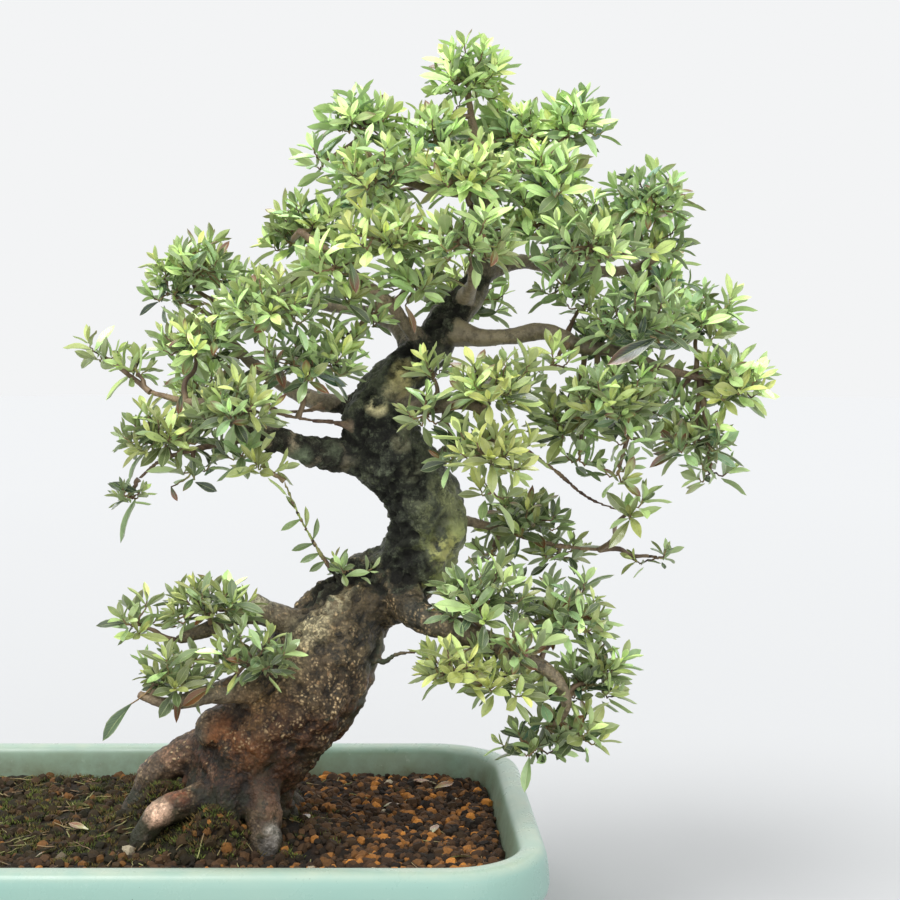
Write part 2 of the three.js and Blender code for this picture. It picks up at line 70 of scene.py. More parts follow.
wholeTurn = 6.28
goldenAngle = 2.39996

# the pot at its widest line, in millimetres
potHalfLength = 223
potHalfDepth = 143
potCorner = 62


def treePoint(x, y, z):
    return treeFoot + Vector((x, y, z)) * mm


# small helpers for objects and edit mode


def deselectAll():
    if bpy.context.object and bpy.context.object.mode != "OBJECT":
        bpy.ops.object.mode_set(mode="OBJECT")
    for item in bpy.context.view_layer.objects:
        item.select_set(False)


def activate(piece):
    deselectAll()
    piece.select_set(True)
    bpy.context.view_layer.objects.active = piece


def pickPoints(piece, test):
    # selects the vertices that pass the test and goes to edit mode
    bpy.ops.object.mode_set(mode="OBJECT")
    mesh = piece.data
    picked = [bool(test(v.co)) for v in mesh.vertices]
    mesh.vertices.foreach_set("select", picked)
    mesh.edges.foreach_set("select", [picked[a] and picked[b] for a, b in mesh.edge_keys])
    mesh.polygons.foreach_set("select", [all(picked[i] for i in f.vertices) for f in mesh.polygons])
    bpy.ops.object.mode_set(mode="EDIT")


def roundUprights(piece, width, steps):
    # bevels the upright edges of a block
    bpy.ops.object.mode_set(mode="OBJECT")
    mesh = piece.data
    for items in (mesh.vertices, mesh.edges, mesh.polygons):
        items.foreach_set("select", [False] * len(items))
    for edge in mesh.edges:
        ends = [mesh.vertices[i].co for i in edge.vertices]
        edge.select = math.hypot(ends[0].x - ends[1].x, ends[0].y - ends[1].y) < 0.01 * mm
    bpy.context.tool_settings.mesh_select_mode = (False, True, False)
    bpy.ops.object.mode_set(mode="EDIT")
    bpy.ops.mesh.bevel(offset=width, segments=steps, profile=0.5)
    bpy.context.tool_settings.mesh_select_mode = (True, False, False)
    bpy.ops.object.mode_set(mode="OBJECT")


def applyModifier(piece, kind, **values):
    activate(piece)
    modifier = piece.modifiers.new(kind.lower(), kind)
    for key, value in values.items():
        setattr(modifier, key, value)
    bpy.ops.object.modifier_apply(modifier=modifier.name)


def joinPieces(name, parts):
    deselectAll()
    for part in parts:
        part.select_set(True)
    bpy.context.view_layer.objects.active = parts[0]
    if len(parts) > 1:
        bpy.ops.object.join()
    piece = bpy.context.view_layer.objects.active
    piece.name = piece.data.name = name
    return piece


def removePiece(piece):
    mesh = piece.data
    bpy.data.objects.remove(piece)
    bpy.data.meshes.remove(mesh)


def copyOf(master, matrix, tint=None):
    # a copy with its own mesh, its place in the mesh and one tint all over
    mesh = master.data.copy()
    mesh.transform(matrix)
    if tint:
        mesh.attributes["tint"].data.foreach_set("color", list(tint) * len(mesh.vertices))
    copy = bpy.data.objects.new(master.name, mesh)
    bpy.context.collection.objects.link(copy)
    return copy


def along(start, end, width, turn=0.0):
    # stands a unit-long master, upright on the origin, between two points
    way = end - start
    spin = way.to_track_quat("Z", "Y").to_matrix().to_4x4() @ Matrix.Rotation(turn, 4, "Z")
    return Matrix.Translation(start) @ spin @ Matrix.Diagonal((width, width, way.length, 1))


def setPiece(piece, slot, *nodes):
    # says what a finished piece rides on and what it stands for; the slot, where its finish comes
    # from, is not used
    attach(piece, "root")
    if nodes:
        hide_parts(*nodes)


# helpers for materials


def colour(code):
    # a hex code as the linear colour that the nodes want
    parts = [int(code[i:i + 2], 16) / 255 for i in (1, 3, 5)]
    linear = [c / 12.92 if c <= 0.04045 else ((c + 0.055) / 1.055) ** 2.4 for c in parts]
    return (*linear, 1.0)


def feed(tree, socket, value):
    if isinstance(value, bpy.types.NodeSocket):
        tree.links.new(value, socket)
    else:
        socket.default_value = value


def addNode(tree, kind, values, **settings):
    node = tree.nodes.new("ShaderNode" + kind)
    for key, value in settings.items():
        setattr(node, key, value)
    for key, value in values.items():
        feed(tree, node.inputs[key], value)
    return node


def startMaterial(name, **sockets):
    material = bpy.data.materials.new(name)
    material.use_nodes = True
    tree = material.node_tree
    tree.nodes.clear()
    output = tree.nodes.new("ShaderNodeOutputMaterial")
    shader = tree.nodes.new("ShaderNodeBsdfPrincipled")
    tree.links.new(shader.outputs[0], output.inputs[0])
    for key, value in sockets.items():
        shader.inputs[key.replace("_", " ")].default_value = value
    return material, tree, shader


def mixColour(tree, share, first, second, blend="MIX"):
    values = {0: share, 6: first, 7: second}
    return addNode(tree, "Mix", values, data_type="RGBA", blend_type=blend).outputs[2]


def spread(tree, value, low, high, first=0.0, last=1.0):
    return addNode(tree, "MapRange", {0: value, 1: low, 2: high, 3: first, 4: last}).outputs[0]


def sums(tree, how, first, second):
    return addNode(tree, "Math", {0: first, 1: second}, operation=how).outputs[0]


def grainOf(tree, place, scale, detail=4.0, rough=0.55):
    values = {"Vector": place, "Scale": scale, "Detail": detail, "Roughness": rough}
    return addNode(tree, "TexNoise", values).outputs[0]


def cellsOf(tree, place, scale, feature="F1"):
    cells = addNode(tree, "TexVoronoi", {"Vector": place, "Scale": scale}, feature=feature)
    return cells.outputs[0]


def spotAt(tree, place, centre, inner, outer):
    # 1 within the inner distance of a point, falling to 0 at the outer one
    away = addNode(tree, "VectorMath", {0: place, 1: centre}, operation="DISTANCE").outputs["Value"]
    return spread(tree, away, inner, outer, 1.0, 0.0)


def bumpOf(tree, height, strength, distance, under=None):
    values = {"Height": height, "Strength": strength, "Distance": distance}
    if under:
        values["Normal"] = under
    return addNode(tree, "Bump", values).outputs[0]


def objectPlace(tree):
    return tree.nodes.new("ShaderNodeTexCoord").outputs["Object"]


# the pot

potForm = {
    "length": 2 * potHalfLength * mm,
    "depth": 2 * potHalfDepth * mm,
    "cornerRadius": potCorner * mm,
    "cornerSteps": 20,
    # each profile: inset from the widest line, height below the rim
    "upperProfile": [
        (0, -22), (0.5, -15), (1.5, -8), (2.7, -4), (4.3, -1.7), (6.2, -0.4), (8.4, 0), (12.5, 0),
        (14.6, -0.35), (16.6, -1.5), (18.2, -3.6), (19.2, -6.2), (20.4, -10), (24, -26), (29, -50),
        (31, -62), (33, -67.5), (37, -70),
    ],
    "lowerProfile": [
        (0, -22), (0.8, -26), (2.6, -29.2), (5.6, -31.4), (9, -33.2), (11.2, -35.6), (12.6, -40),
        (18, -58), (22.5, -72), (25, -77.4), (28, -79.6), (31, -80),
    ],
    "foot": (52 * mm, 36 * mm, 11 * mm),
    "footPlace": (145 * mm, 85 * mm),
    "drainHole": (12.5 * mm, 95 * mm),
    "glaze": "#96b3a6",
    "glazePaleAndHighlight": "#b0beab",
    "glazeCool": "#8cb0a5",
    "filmAndShade": "#7a9077",
    "dirtAndShade": "#5b5a40",
    "clay": "#a08a6c",
    "specks": "#4b4a38",
    "scuffs": "#e9efe6",
}


def glazeMaterial():
    form = potForm
    material, tree, shader = startMaterial("celadonGlaze", IOR=1.5)
    place = objectPlace(tree)
    cloud = spread(tree, grainOf(tree, place, 9, 3), 0.35, 0.68)
    body = mixColour(tree, cloud, colour(form["glaze"]), colour(form["glazeCool"]))
    height = addNode(tree, "SeparateXYZ", {0: place}).outputs["Z"]
    # the rim's top paler: paler glaze there, and a painted highlight
    rim = spread(tree, height, potHigh.z - 5 * mm, potHigh.z - 0.5 * mm)
    paleAndHighlightNoise = spread(tree, grainOf(tree, place, 70, 4), 0.3, 0.75, 0.35, 1)
    body = mixColour(tree, sums(tree, "MULTIPLY", rim, paleAndHighlightNoise), body, colour(form["glazePaleAndHighlight"]))
    # soil splashes, algae and painted shade on the inner wall, thickest at the soil
    normal = tree.nodes.new("ShaderNodeNewGeometry").outputs["Normal"]
    toMiddle = addNode(tree, "VectorMath", {0: place, 1: (potMiddle.x, 0, potHigh.z)},
                       operation="SUBTRACT").outputs[0]
    inward = addNode(tree, "VectorMath", {0: toMiddle, 1: normal},
                     operation="DOT_PRODUCT").outputs["Value"]
    inside = spread(tree, inward, 0, -0.02)
    low = spread(tree, height, potHigh.z - 1 * mm, potHigh.z - 17 * mm, 0.08, 0.85)
    grimeAndShade = spread(tree, grainOf(tree, place, 55, 6, 0.7), 0.25, 0.7)
    below = spread(tree, height, potHigh.z - 0.5 * mm, potHigh.z - 4.5 * mm)
    streaks = spread(tree, grainOf(tree, place, 26, 5, 0.6), 0.3, 0.65, 0.6, 1)
    filmAndShade = sums(tree, "MULTIPLY", sums(tree, "MULTIPLY", inside, below), streaks)
    body = mixColour(tree, filmAndShade, body, colour(form["filmAndShade"]))
    # dirt and painted shade, darker down towards the soil
    stainAndPaintedLight = sums(tree, "MULTIPLY", sums(tree, "MULTIPLY", inside, low), grimeAndShade)
    body = mixColour(tree, stainAndPaintedLight, body, colour(form["dirtAndShade"]))
    speck = spread(tree, cellsOf(tree, place, 210), 0.07, 0.045)
    rare = spread(tree, grainOf(tree, place, 38, 2), 0.57, 0.63)
    specks = sums(tree, "MULTIPLY", speck, rare)
    body = mixColour(tree, sums(tree, "MULTIPLY", specks, 0.75), body, colour(form["specks"]))
    scuff = spread(tree, grainOf(tree, place, 150, 5, 0.8), 0.62, 0.72)
    body = mixColour(tree, sums(tree, "MULTIPLY", scuff, 0.18), body, colour(form["scuffs"]))
    bare = spread(tree, height, 2.5 * mm, 1.2 * mm)
    body = mixColour(tree, bare, body, colour(form["clay"]))
    feed(tree, shader.inputs["Base Color"], body)
    dull = spread(tree, grainOf(tree, place, 45, 5, 0.65), 0.3, 0.75, 0.2, 0.42)
    dull = sums(tree, "ADD", dull, sums(tree, "MULTIPLY", sums(tree, "ADD", stainAndPaintedLight, bare), 0.4))
    feed(tree, shader.inputs["Roughness"], dull)
    wave = bumpOf(tree, grainOf(tree, place, 16, 1.5), 0.12, 1.2 * mm)
    fine = grainOf(tree, place, 600, 3)
    feed(tree, shader.inputs["Normal"], bumpOf(tree, fine, 0.12, 0.15 * mm, wave))
    return material


def runProfile(piece, topSide, profile):
    # insets the flat top or bottom face again and again along a profile
    bpy.ops.object.mode_set(mode="OBJECT")
    side = 1 if topSide else -1
    bpy.context.tool_settings.mesh_select_mode = (False, False, True)
    flat = max(piece.data.polygons, key=lambda face: side * face.normal.z * face.area)
    for item in (piece.data.vertices, piece.data.edges, piece.data.polygons):
        item.foreach_set("select", [False] * len(item))
    flat.select = True
    bpy.ops.object.mode_set(mode="EDIT")
    for (inset, height), (nextInset, nextHeight) in zip(profile, profile[1:]):
        step = (nextHeight - height) * side * mm
        bpy.ops.mesh.inset(thickness=(nextInset - inset) * mm, depth=step, use_even_offset=True)
    bpy.context.tool_settings.mesh_select_mode = (True, False, False)
    bpy.ops.object.mode_set(mode="OBJECT")


def makePot():
    form = potForm
    sliver = 0.2 * mm
    widest = potHigh.z - 22 * mm
    deselectAll()
    bpy.ops.mesh.primitive_cube_add(size=1, location=(potMiddle.x, 0, widest),
                                    scale=(form["length"], form["depth"], sliver))
    pot = bpy.context.object
    bpy.ops.object.transform_apply(location=True, rotation=True, scale=True)
    roundUprights(pot, form["cornerRadius"], form["cornerSteps"])
    runProfile(pot, True, form["upperProfile"])
    runProfile(pot, False, form["lowerProfile"])
    footParts = []
    for sideX in (-1, 1):
        for sideY in (-1, 1):
            deselectAll()
            spot = (potMiddle.x + sideX * form["footPlace"][0], sideY * form["footPlace"][1],
                    form["foot"][2] / 2)
            bpy.ops.mesh.primitive_cube_add(size=1, location=spot, scale=form["foot"])
            foot = bpy.context.object
            bpy.ops.object.transform_apply(location=True, rotation=True, scale=True)
            pickPoints(foot, lambda co: co.z < 1 * mm)
            bpy.ops.transform.resize(value=(0.94, 0.92, 1), center_override=(spot[0], spot[1], 0))
            bpy.ops.object.mode_set(mode="OBJECT")
            applyModifier(foot, "BEVEL", width=2.2 * mm, segments=4, limit_method="ANGLE")
            footParts.append(foot)
    for foot in footParts:
        applyModifier(pot, "BOOLEAN", operation="UNION", object=foot, solver="EXACT")
        removePiece(foot)
    for side in (-1, 1):
        deselectAll()
        bpy.ops.mesh.primitive_cylinder_add(
            vertices=40, radius=form["drainHole"][0], depth=60 * mm,
            location=(potMiddle.x + side * form["drainHole"][1], 0, 12 * mm))
        drill = bpy.context.object
        bpy.ops.object.transform_apply(location=True, rotation=True, scale=True)
        applyModifier(pot, "BOOLEAN", operation="DIFFERENCE", object=drill, solver="EXACT")
        removePiece(drill)
    activate(pot)
    bpy.ops.object.shade_smooth_by_angle(angle=math.radians(38))
    pot.name = pot.data.name = "glazedPot"
    pot.data.materials.clear()
    pot.data.materials.append(glazeMaterial())
    setPiece(pot, "glaze", "pot")
    print("pot made:", len(pot.data.polygons), "faces")


# the drainage meshes stay as they are, with a better material

netForm = {
    "plastic": "#20242a",
    "dust": "#5a4a38",
}


def meshMaterial():
    form = netForm
    material, tree, shader = startMaterial("drainageNet", IOR=1.47)
    place = objectPlace(tree)
    dusty = spread(tree, grainOf(tree, place, 160, 5, 0.7), 0.45, 0.7)
    body = mixColour(tree, dusty, colour(form["plastic"]), colour(form["dust"]))
    feed(tree, shader.inputs["Base Color"], body)
    feed(tree, shader.inputs["Roughness"], spread(tree, dusty, 0, 1, 0.45, 0.85))
    feed(tree, shader.inputs["Normal"], bumpOf(tree, grainOf(tree, place, 900, 3), 0.3, 0.2 * mm))
    return material


def finishNets():
    material = meshMaterial()
    for name in ("drainage_mesh_left", "drainage_mesh_right"):
        for slotOfMesh in frame["nodes"][name].material_slots:
            slotOfMesh.material = material
    print("drainage nets finished")


# paths of the wood: x, y, z and radius

trunkPath = [
    (-6, 0, -35, 31), (-2, 0, -4, 33), (3, 0, 24, 34), (20, -3, 58, 36), (45, -4, 88, 37.5),
    (64, 0, 119, 32), (77, 3, 137, 25.5), (90, 5, 147, 24.5), (106, 6, 158, 24), (117, 4, 173, 23),
    (124, 0, 191, 22.5), (120, -3, 208, 22.5), (111, -5, 222, 22.5), (97, -6, 240, 23),
    (91, -4, 256, 20), (95, -2, 270, 18), (107, 0, 284, 15.5), (120, 2, 296, 14),
    (134, 5, 317, 12), (147, 6, 331, 10), (156, 6, 348, 8), (160, 5, 368, 6.8), (158, 3, 395, 5),
    (152, 0, 425, 3.4), (146, 0, 460, 2),
]

rootPaths = {
    "left": [(-4, 4, 51, 16), (-30, 8, 43, 13), (-47, 8, 32, 11), (-60, 6, 11, 9),
             (-71, 2, -14, 7.5), (-76, 0, -34, 5)],
    "knob": [(-2, -20, 27, 15), (-22, -30, 24, 10.5), (-35, -37, 22, 10), (-48, -40, 11, 7.6),
             (-56, -42, -8, 6)],
    "middle": [(4, -16, 46, 18), (2, -27, 31, 15), (-1, -35, 18, 11), (-4, -41, 2, 7)],
    "front": [(18, -18, 41, 17), (21, -32, 26, 12.5), (24, -41, 10, 10.4), (24, -47, -8, 9),
              (22, -50, -30, 6)],
    "right": [(16, 8, 19, 16), (30, 16, 3, 10.5), (42, 20, -12, 6.5), (54, 22, -24, 4)],
    "back": [(3, 24, 23, 18), (-4, 44, 10, 13), (-12, 60, -1, 9.5), (-21, 74, -16, 5.5)],
    "rightBack": [(16, 22, 20, 14), (30, 38, 6, 9), (44, 52, -7, 6), (56, 62, -18, 4)],
}

limbPaths = {
    "lowLeftUpper": [(51, 0, 124, 15), (36, -8, 131, 9), (21, -15, 138, 6.8), (5, -22, 137, 5.4),
                     (-12, -30, 131, 4.8), (-30, -34, 125, 3)],
    "lowLeftLower": [(21, -20, 92, 12), (-1, -34, 94, 8), (-17, -42, 92, 6), (-33, -48, 90, 3.6),
                     (-51, -50, 96, 2.4)],
    "lowRight": [(104, -10, 150, 13), (120, -34, 139, 10), (142, -52, 133, 7.7), (166, -60, 125, 6),
                 (192, -62, 112, 4.7), (203, -58, 93, 3.5), (195, -52, 74, 2.4)],
    "left": [(92, -4, 240, 18), (72, -10, 235, 10.4), (52, -18, 239, 9), (35, -26, 244, 7.8),
             (16, -30, 252, 6.6), (-5, -32, 266, 4.2), (-26, -30, 270, 2.4), (-45, -28, 275, 1.8)],
    "leftUpper": [(92, 2, 262, 10), (70, 14, 265, 6), (49, 26, 269, 5.7), (27, 36, 280, 4.5),
                  (4, 40, 298, 3.9), (-14, 40, 320, 2.6)],
    "leftLow": [(18, -30, 251, 5), (1, -29, 245, 2.6), (-20, -27, 240, 2.2), (-40, -25, 233, 1.8),
                (-53, -24, 222, 1.4)],
    "leftTwig": [(82, -14, 252, 4), (66, -18, 256, 1.8), (50, -22, 258, 1.6), (33, -26, 262, 1.5),
                 (20, -30, 269, 1.3)],
    "leftTwigBack": [(62, 20, 266, 3), (47, 8, 262, 1.6), (31, -6, 263, 1.5), (20, -18, 272, 1.3)],
    "leftBack": [(114, 8, 300, 8), (101, 28, 316, 5), (80, 44, 325, 4.4), (61, 58, 328, 4),
                 (34, 70, 334, 3.3)],
    "upperLeft": [(122, -2, 302, 9), (110, -12, 314, 5), (101, -20, 326, 4.2), (84, -30, 340, 3.4),
                  (64, -40, 356, 3), (46, -42, 370, 2.4)],
    "right": [(134, -4, 312, 10), (154, -14, 308, 5.8), (175, -22, 309, 5.4), (195, -26, 311, 5.4),
              (213, -26, 303, 4.8), (236, -24, 299, 4.2), (261, -20, 290, 3.6),
              (288, -16, 283, 2.4)],
    "rightUpper": [(156, 8, 346, 7), (179, 22, 355, 4.6), (203, 36, 353, 4.5), (230, 46, 350, 3.9),
                   (257, 52, 352, 3.2), (280, 54, 363, 2.6)],
    "rightFront": [(203, 34, 353, 4), (213, 0, 356, 3.1), (216, -34, 355, 2.4)],
    "centreRight": [(104, -8, 268, 8), (129, -42, 268, 4.7), (148, -56, 268, 3.5),
                    (158, -62, 260, 2.9)],
    "centreFront": [(144, 0, 330, 7), (148, -30, 340, 3.6), (146, -54, 348, 2.6)],
    "back": [(155, 10, 350, 6.5), (159, 44, 356, 4.5), (155, 66, 353, 3.9), (151, 80, 342, 3.3)],
    "crownFront": [(160, 0, 368, 5), (153, -28, 375, 3), (146, -44, 385, 2.3)],
    "crownBack": [(158, 6, 386, 4.6), (161, 34, 397, 3.8), (158, 48, 411, 3.2)],
    "topLeft": [(157, 2, 396, 4.4), (134, -20, 395, 3.6), (113, -28, 399, 3), (93, -26, 410, 2.4),
                (80, -16, 426, 2)],
    "topRight": [(156, 2, 400, 4.2), (172, -12, 405, 3), (189, -16, 414, 2.7), (206, -8, 428, 2.1)],
    "midShoot": [(84, -4, 146, 5), (66, -12, 162, 2), (52, -18, 184, 1.6), (42, -28, 205, 1.4),
                 (36, -38, 222, 1.2)],
    "midRightBack": [(122, 6, 195, 8), (142, 22, 192, 4.2), (157, 34, 188, 3.2),
                     (174, 40, 183, 2.4), (203, 40, 174, 1.8), (235, 34, 171, 1.4)],
    "lowTwig": [(84, 0, 136, 8), (93, -6, 120, 3.2), (93, -10, 108, 2.2), (104, -20, 114, 1.5),
                (123, -34, 119, 1.2)],
}

stumpPaths = {
    "leftCut": [(46, -6, 126, 13), (32, -14, 135, 8.5), (20, -20, 143, 6.6), (15, -22, 147, 5.6)],
    "deadKnob": [(4, -16, 64, 19), (-9, -22, 68, 13), (-17, -27, 67, 7)],
    "rightCut": [(82, -2, 142, 12), (91, -4, 124, 5), (92, -5, 114, 4.5)],
    "bareTwig": [(120, 2, 222, 8), (146, 4, 243, 2.2), (172, 2, 243, 1.9), (197, -4, 229, 1.6),
                 (222, -12, 209, 1.4), (240, -18, 202, 1.2)],
}

# sprays of leaves: middle and half sizes of the space that each one fills, and how fresh it is
sprays = {
    "apex": [(148, 0, 452), (22, 21, 24), 0.45],
    "apex_left": [(124, -14, 425), (22, 22, 18), 0.4],
    "apex_right": [(180, 12, 432), (26, 24, 20), 0.35],
    "crown_front": [(143, -48, 400), (28, 24, 22), 0.5],
    "crown_back": [(154, 56, 428), (30, 28, 24), 0.4],
    "top_left": [(82, -8, 437), (22, 22, 18), 0.35],
    "top_left_inner": [(92, -34, 403), (26, 24, 20), 0.45],
    "top_left_back": [(88, 52, 398), (25, 27, 19), 0.4],
    "top_right": [(209, 0, 436), (22, 22, 20), 0.3],
    "top_right_inner": [(191, -38, 400), (23, 24, 20), 0.4],
    "top_right_back": [(229, 60, 378), (28, 26, 19), 0.35],
    "shoulder_left": [(50, 0, 375), (25, 24, 17), 0.4],
    "shoulder_left_front": [(98, -52, 364), (28, 24, 20), 0.6],
    "centre_front": [(145, -64, 360), (26, 22, 20), 0.5],
    "shoulder_right": [(260, 0, 389), (21, 24, 20), 0.35],
    "shoulder_right_front": [(215, -52, 360), (30, 26, 22), 0.35],
    "left_top": [(-22, 4, 349), (28, 26, 20), 0.45],
    "left_inner": [(28, -36, 324), (30, 26, 22), 0.5],
    "left_back": [(16, 72, 330), (28, 26, 20), 0.4],
    "left_mid": [(-17, -22, 303), (26, 26, 21), 0.5],
    "left_tip": [(-75, -14, 297), (13, 10, 9), 0.45],
    "left_low": [(-36, -26, 243), (28, 26, 18), 0.5],
    "left_low_front": [(9, -58, 266), (27, 24, 20), 0.55],
    "left_low_back": [(-18, 54, 272), (30, 28, 22), 0.4],
    "left_droop": [(-58, -24, 214), (8, 8, 6), 0.3],
    "left_hang": [(24, -46, 232), (12, 10, 10), 0.9],
    "right_top": [(289, 2, 316), (28, 28, 20), 0.4],
    "right_tip": [(308, -12, 277), (24, 24, 21), 0.5],
    "right_inner": [(245, -42, 314), (30, 26, 22), 0.35],
    "right_back": [(274, 74, 340), (32, 28, 24), 0.35],
    "right_mid": [(230, -38, 269), (28, 26, 21), 0.45],
    "right_low": [(286, -12, 245), (22, 22, 18), 0.45],
    "right_low_back": [(256, 58, 261), (30, 26, 22), 0.4],
    "right_hang": [(237, -22, 225), (13, 12, 12), 0.45],
    "centre_right": [(157, -60, 274), (27, 24, 19), 0.65],
    "centre_right_low": [(158, -70, 241), (26, 22, 18), 0.8],
    "back_centre": [(149, 88, 333), (30, 26, 22), 0.4],
    "mid_right_back": [(186, 46, 185), (28, 26, 18), 0.45],
    "mid_right_tip": [(271, 30, 167), (20, 12, 7), 0.6],
    "low_right_upper": [(152, -58, 153), (28, 24, 20), 0.4],
    "low_right_outer": [(203, -50, 142), (27, 26, 22), 0.45],
    "low_right_inner": [(136, -74, 115), (22, 20, 16), 0.8],
    "low_right_lower": [(217, -46, 101), (20, 20, 16), 0.45],
    "low_right_end": [(187, -52, 67), (21, 20, 13), 0.4],
    "low_left_upper": [(-9, -40, 145), (26, 24, 17), 0.5],
    "low_left_inner": [(16, -54, 117), (24, 20, 18), 0.5],
    "low_left_outer": [(-54, -36, 136), (15, 15, 15), 0.55],
    "low_left_end": [(-42, -50, 98), (12, 9, 6), 0.4],
    "mid_shoot": [(69, -16, 167), (22, 10, 6), 0.4],
}

# small sprays between those, each grown on the named spray's piece
fillers = {
    "left_inner": [[(52, -34, 291), (28, 20, 19), 0.4], [(72, -20, 307), (12, 10, 9), 0.4]],
    "top_right_inner": [[(186, -22, 374), (24, 22, 20), 0.4], [(206, -6, 338), (18, 16, 13), 0.4]],
    "apex": [[(132, -6, 441), (13, 12, 12), 0.5]],
    "top_left": [[(59, -6, 414), (10, 10, 9), 0.4]],
    "left_tip": [[(-56, -18, 289), (9, 8, 8), 0.5]],
    "left_low": [[(8, -36, 239), (16, 14, 12), 0.5], [(-18, -34, 228), (16, 12, 8), 0.5]],
    "right_hang": [[(245, -22, 203), (11, 11, 10), 0.5], [(214, -20, 234), (10, 10, 8), 0.5]],
    "low_right_upper": [[(172, -74, 128), (18, 12, 12), 0.5]],
    "centre_right": [[(126, -44, 266), (14, 12, 18), 0.5], [(124, -45, 288), (9, 8, 8), 0.6]],
    "centre_right_low": [[(158, -50, 217), (16, 12, 10), 0.6], [(136, -44, 238), (9, 9, 14), 0.4]],
    "shoulder_right": [[(262, 8, 366), (22, 20, 18), 0.4]],
    "right_mid": [[(206, -12, 253), (22, 20, 17), 0.5], [(244, -30, 248), (14, 14, 10), 0.5]],
    "low_left_inner": [[(-30, -46, 106), (22, 18, 16), 0.5]],
    "low_right_inner": [[(164, -66, 107), (24, 18, 13), 0.6]],
    "low_right_outer": [[(229, -42, 110), (13, 14, 14), 0.5]],
    "low_right_end": [[(206, -54, 76), (16, 16, 14), 0.4], [(187, -55, 96), (12, 12, 12), 0.5]],
    "mid_right_back": [[(210, 44, 169), (21, 16, 9), 0.5], [(166, 38, 168), (14, 14, 11), 0.4]],
    "right_inner": [[(226, -8, 304), (18, 18, 14), 0.4], [(197, -40, 292), (14, 12, 10), 0.5],
                    [(215, -14, 327), (12, 11, 8), 0.5], [(249, -38, 292), (14, 9, 8), 0.4]],
    "shoulder_left_front": [[(114, -30, 340), (20, 18, 14), 0.4],
                            [(66, -48, 350), (22, 16, 14), 0.5],
                            [(72, -40, 333), (16, 12, 13), 0.5], [(88, -28, 319), (8, 9, 9), 0.4]],
    "right_low": [[(297, -8, 225), (12, 12, 15), 0.5]],
    "right_tip": [[(276, -10, 272), (10, 10, 14), 0.5]],
    "shoulder_left": [[(40, 4, 366), (18, 18, 13), 0.45]],
    "left_top": [[(-36, 6, 335), (15, 16, 16), 0.45]],
}

# single leaves that hang apart on twigs of their own, a few of them withered:
# foot, tip, width in millimetres, and tint (youth, redness, brightness)
looseLeaves = {
    "low_left_end": [
        [(-54.6, -52, 90.8), (-75, -54, 70.4), 9.5, (0.15, 0, 0.45)],
        [(-23.9, -54, 101.8), (-29.7, -56, 79.6), 5, (0.2, 0.86, 0.3)],
        [(-7, -52, 101), (-25.7, -54, 91), 8.5, (0.1, 0.98, 0.75)],
    ],
    "left_droop": [
        [(-54.6, -24, 210.9), (-68.5, -26, 184.9), 5.6, (0.3, 0, 0.6)],
        [(-52, -26, 214), (-71, -28, 221), 7, (0.1, 0, 0.2)],
    ],
    "right_inner": [[(251, -72, 307.5), (223, -76, 294), 10.5, (0.05, 0.55, 0.1)]],
    "shoulder_left_front": [
        [(75.6, -66, 351.3), (79.6, -68, 333.4), 7.5, (0.2, 0.72, 0.4)],
        [(108, -30, 327.2), (115.9, -32, 311), 8, (0.4, 0.98, 0.9)],
    ],
    "left_inner": [[(31, -47, 294.5), (37, -49, 278), 7, (0.1, 0.8, 0.2)]],
    "mid_shoot": [
        [(45.5, -25, 198), (33, -28, 192), 4.6, (0.5, 0, 0.5)],
        [(43, -27, 203), (38, -30, 213), 4.2, (0.6, 0, 0.5)],
        [(52, -19, 184), (57, -22, 197), 5, (0.5, 0, 0.4)],
        [(53, -18, 182), (39, -20, 179), 4.8, (0.4, 0, 0.4)],
        [(57, -16, 176), (44, -18, 171), 5, (0.4, 0, 0.5)],
        [(60, -15, 171), (50, -18, 165), 5, (0.5, 0, 0.3)],
        [(48, -22, 192), (50, -26, 205), 4.4, (0.7, 0, 0.5)],
    ],
    "low_right_upper": [[(169.4, -82, 140.6), (179, -84, 124.7), 7, (0.5, 0.8, 0.8)]],
    "left_low": [
        [(-23.8, -44, 274.8), (-27, -46, 262), 5, (0.1, 0.8, 0.3)],
        [(-32, -36, 219), (-29, -38, 210), 4, (0.1, 0.86, 0.1)],
    ],
}


def pathPoints(path, steps=8):
    # points and radii along a smooth line through a path
    rows = [Vector(p[:3]) for p in path]
    rows = [2 * rows[0] - rows[1], *rows, 2 * rows[-1] - rows[-2]]
    found = []
    for i in range(1, len(rows) - 2):
        before, start, end, after = rows[i - 1:i + 3]
        for step in range(steps):
            t = step / steps
            point = 0.5 * (2 * start + (end - before) * t
                           + (2 * before - 5 * start + 4 * end - after) * t ** 2
                           + (3 * start - before - 3 * end + after) * t ** 3)
            found.append((point, path[i - 1][3] * (1 - t) + path[i][3] * t))
    found.append((rows[-2], path[-1][3]))
    return found


def allSprays():
    # every spray and filler under a key: the name of its piece, and its number on that piece
    found = {(name, 0): spray for name, spray in sprays.items()}
    for name, extra in fillers.items():
        found.update({(name, index + 1): spray for index, spray in enumerate(extra)})
    return found


def layTwigs():
    # where each spray's twig leaves the wood, where it passes into the spray, and where it forks;
    # the trunk's upper part and the outer part of each limb can carry one
    upperTrunk, bareShare = 16, 0.3
    carriers = []
    for path in [trunkPath[upperTrunk:], *limbPaths.values()]:
        points = pathPoints(path)
        carriers += points[round(bareShare * len(points)):]
    twigs = {}
    for key, (middle, halfSizes, fresh) in allSprays().items():
        middle = Vector(middle)
        foot, radius = min(carriers, key=lambda item: (item[0] - middle).length)
        way = middle - foot
        if way.length < 2:
            way = up.copy()
        reach = max((middle - foot).length, radius + 10)
        way.normalize()
        twigs[key] = (foot, foot + way * (reach - 6), foot + way * reach)
    return twigs


# the trunk, roots, limbs and carrying twigs

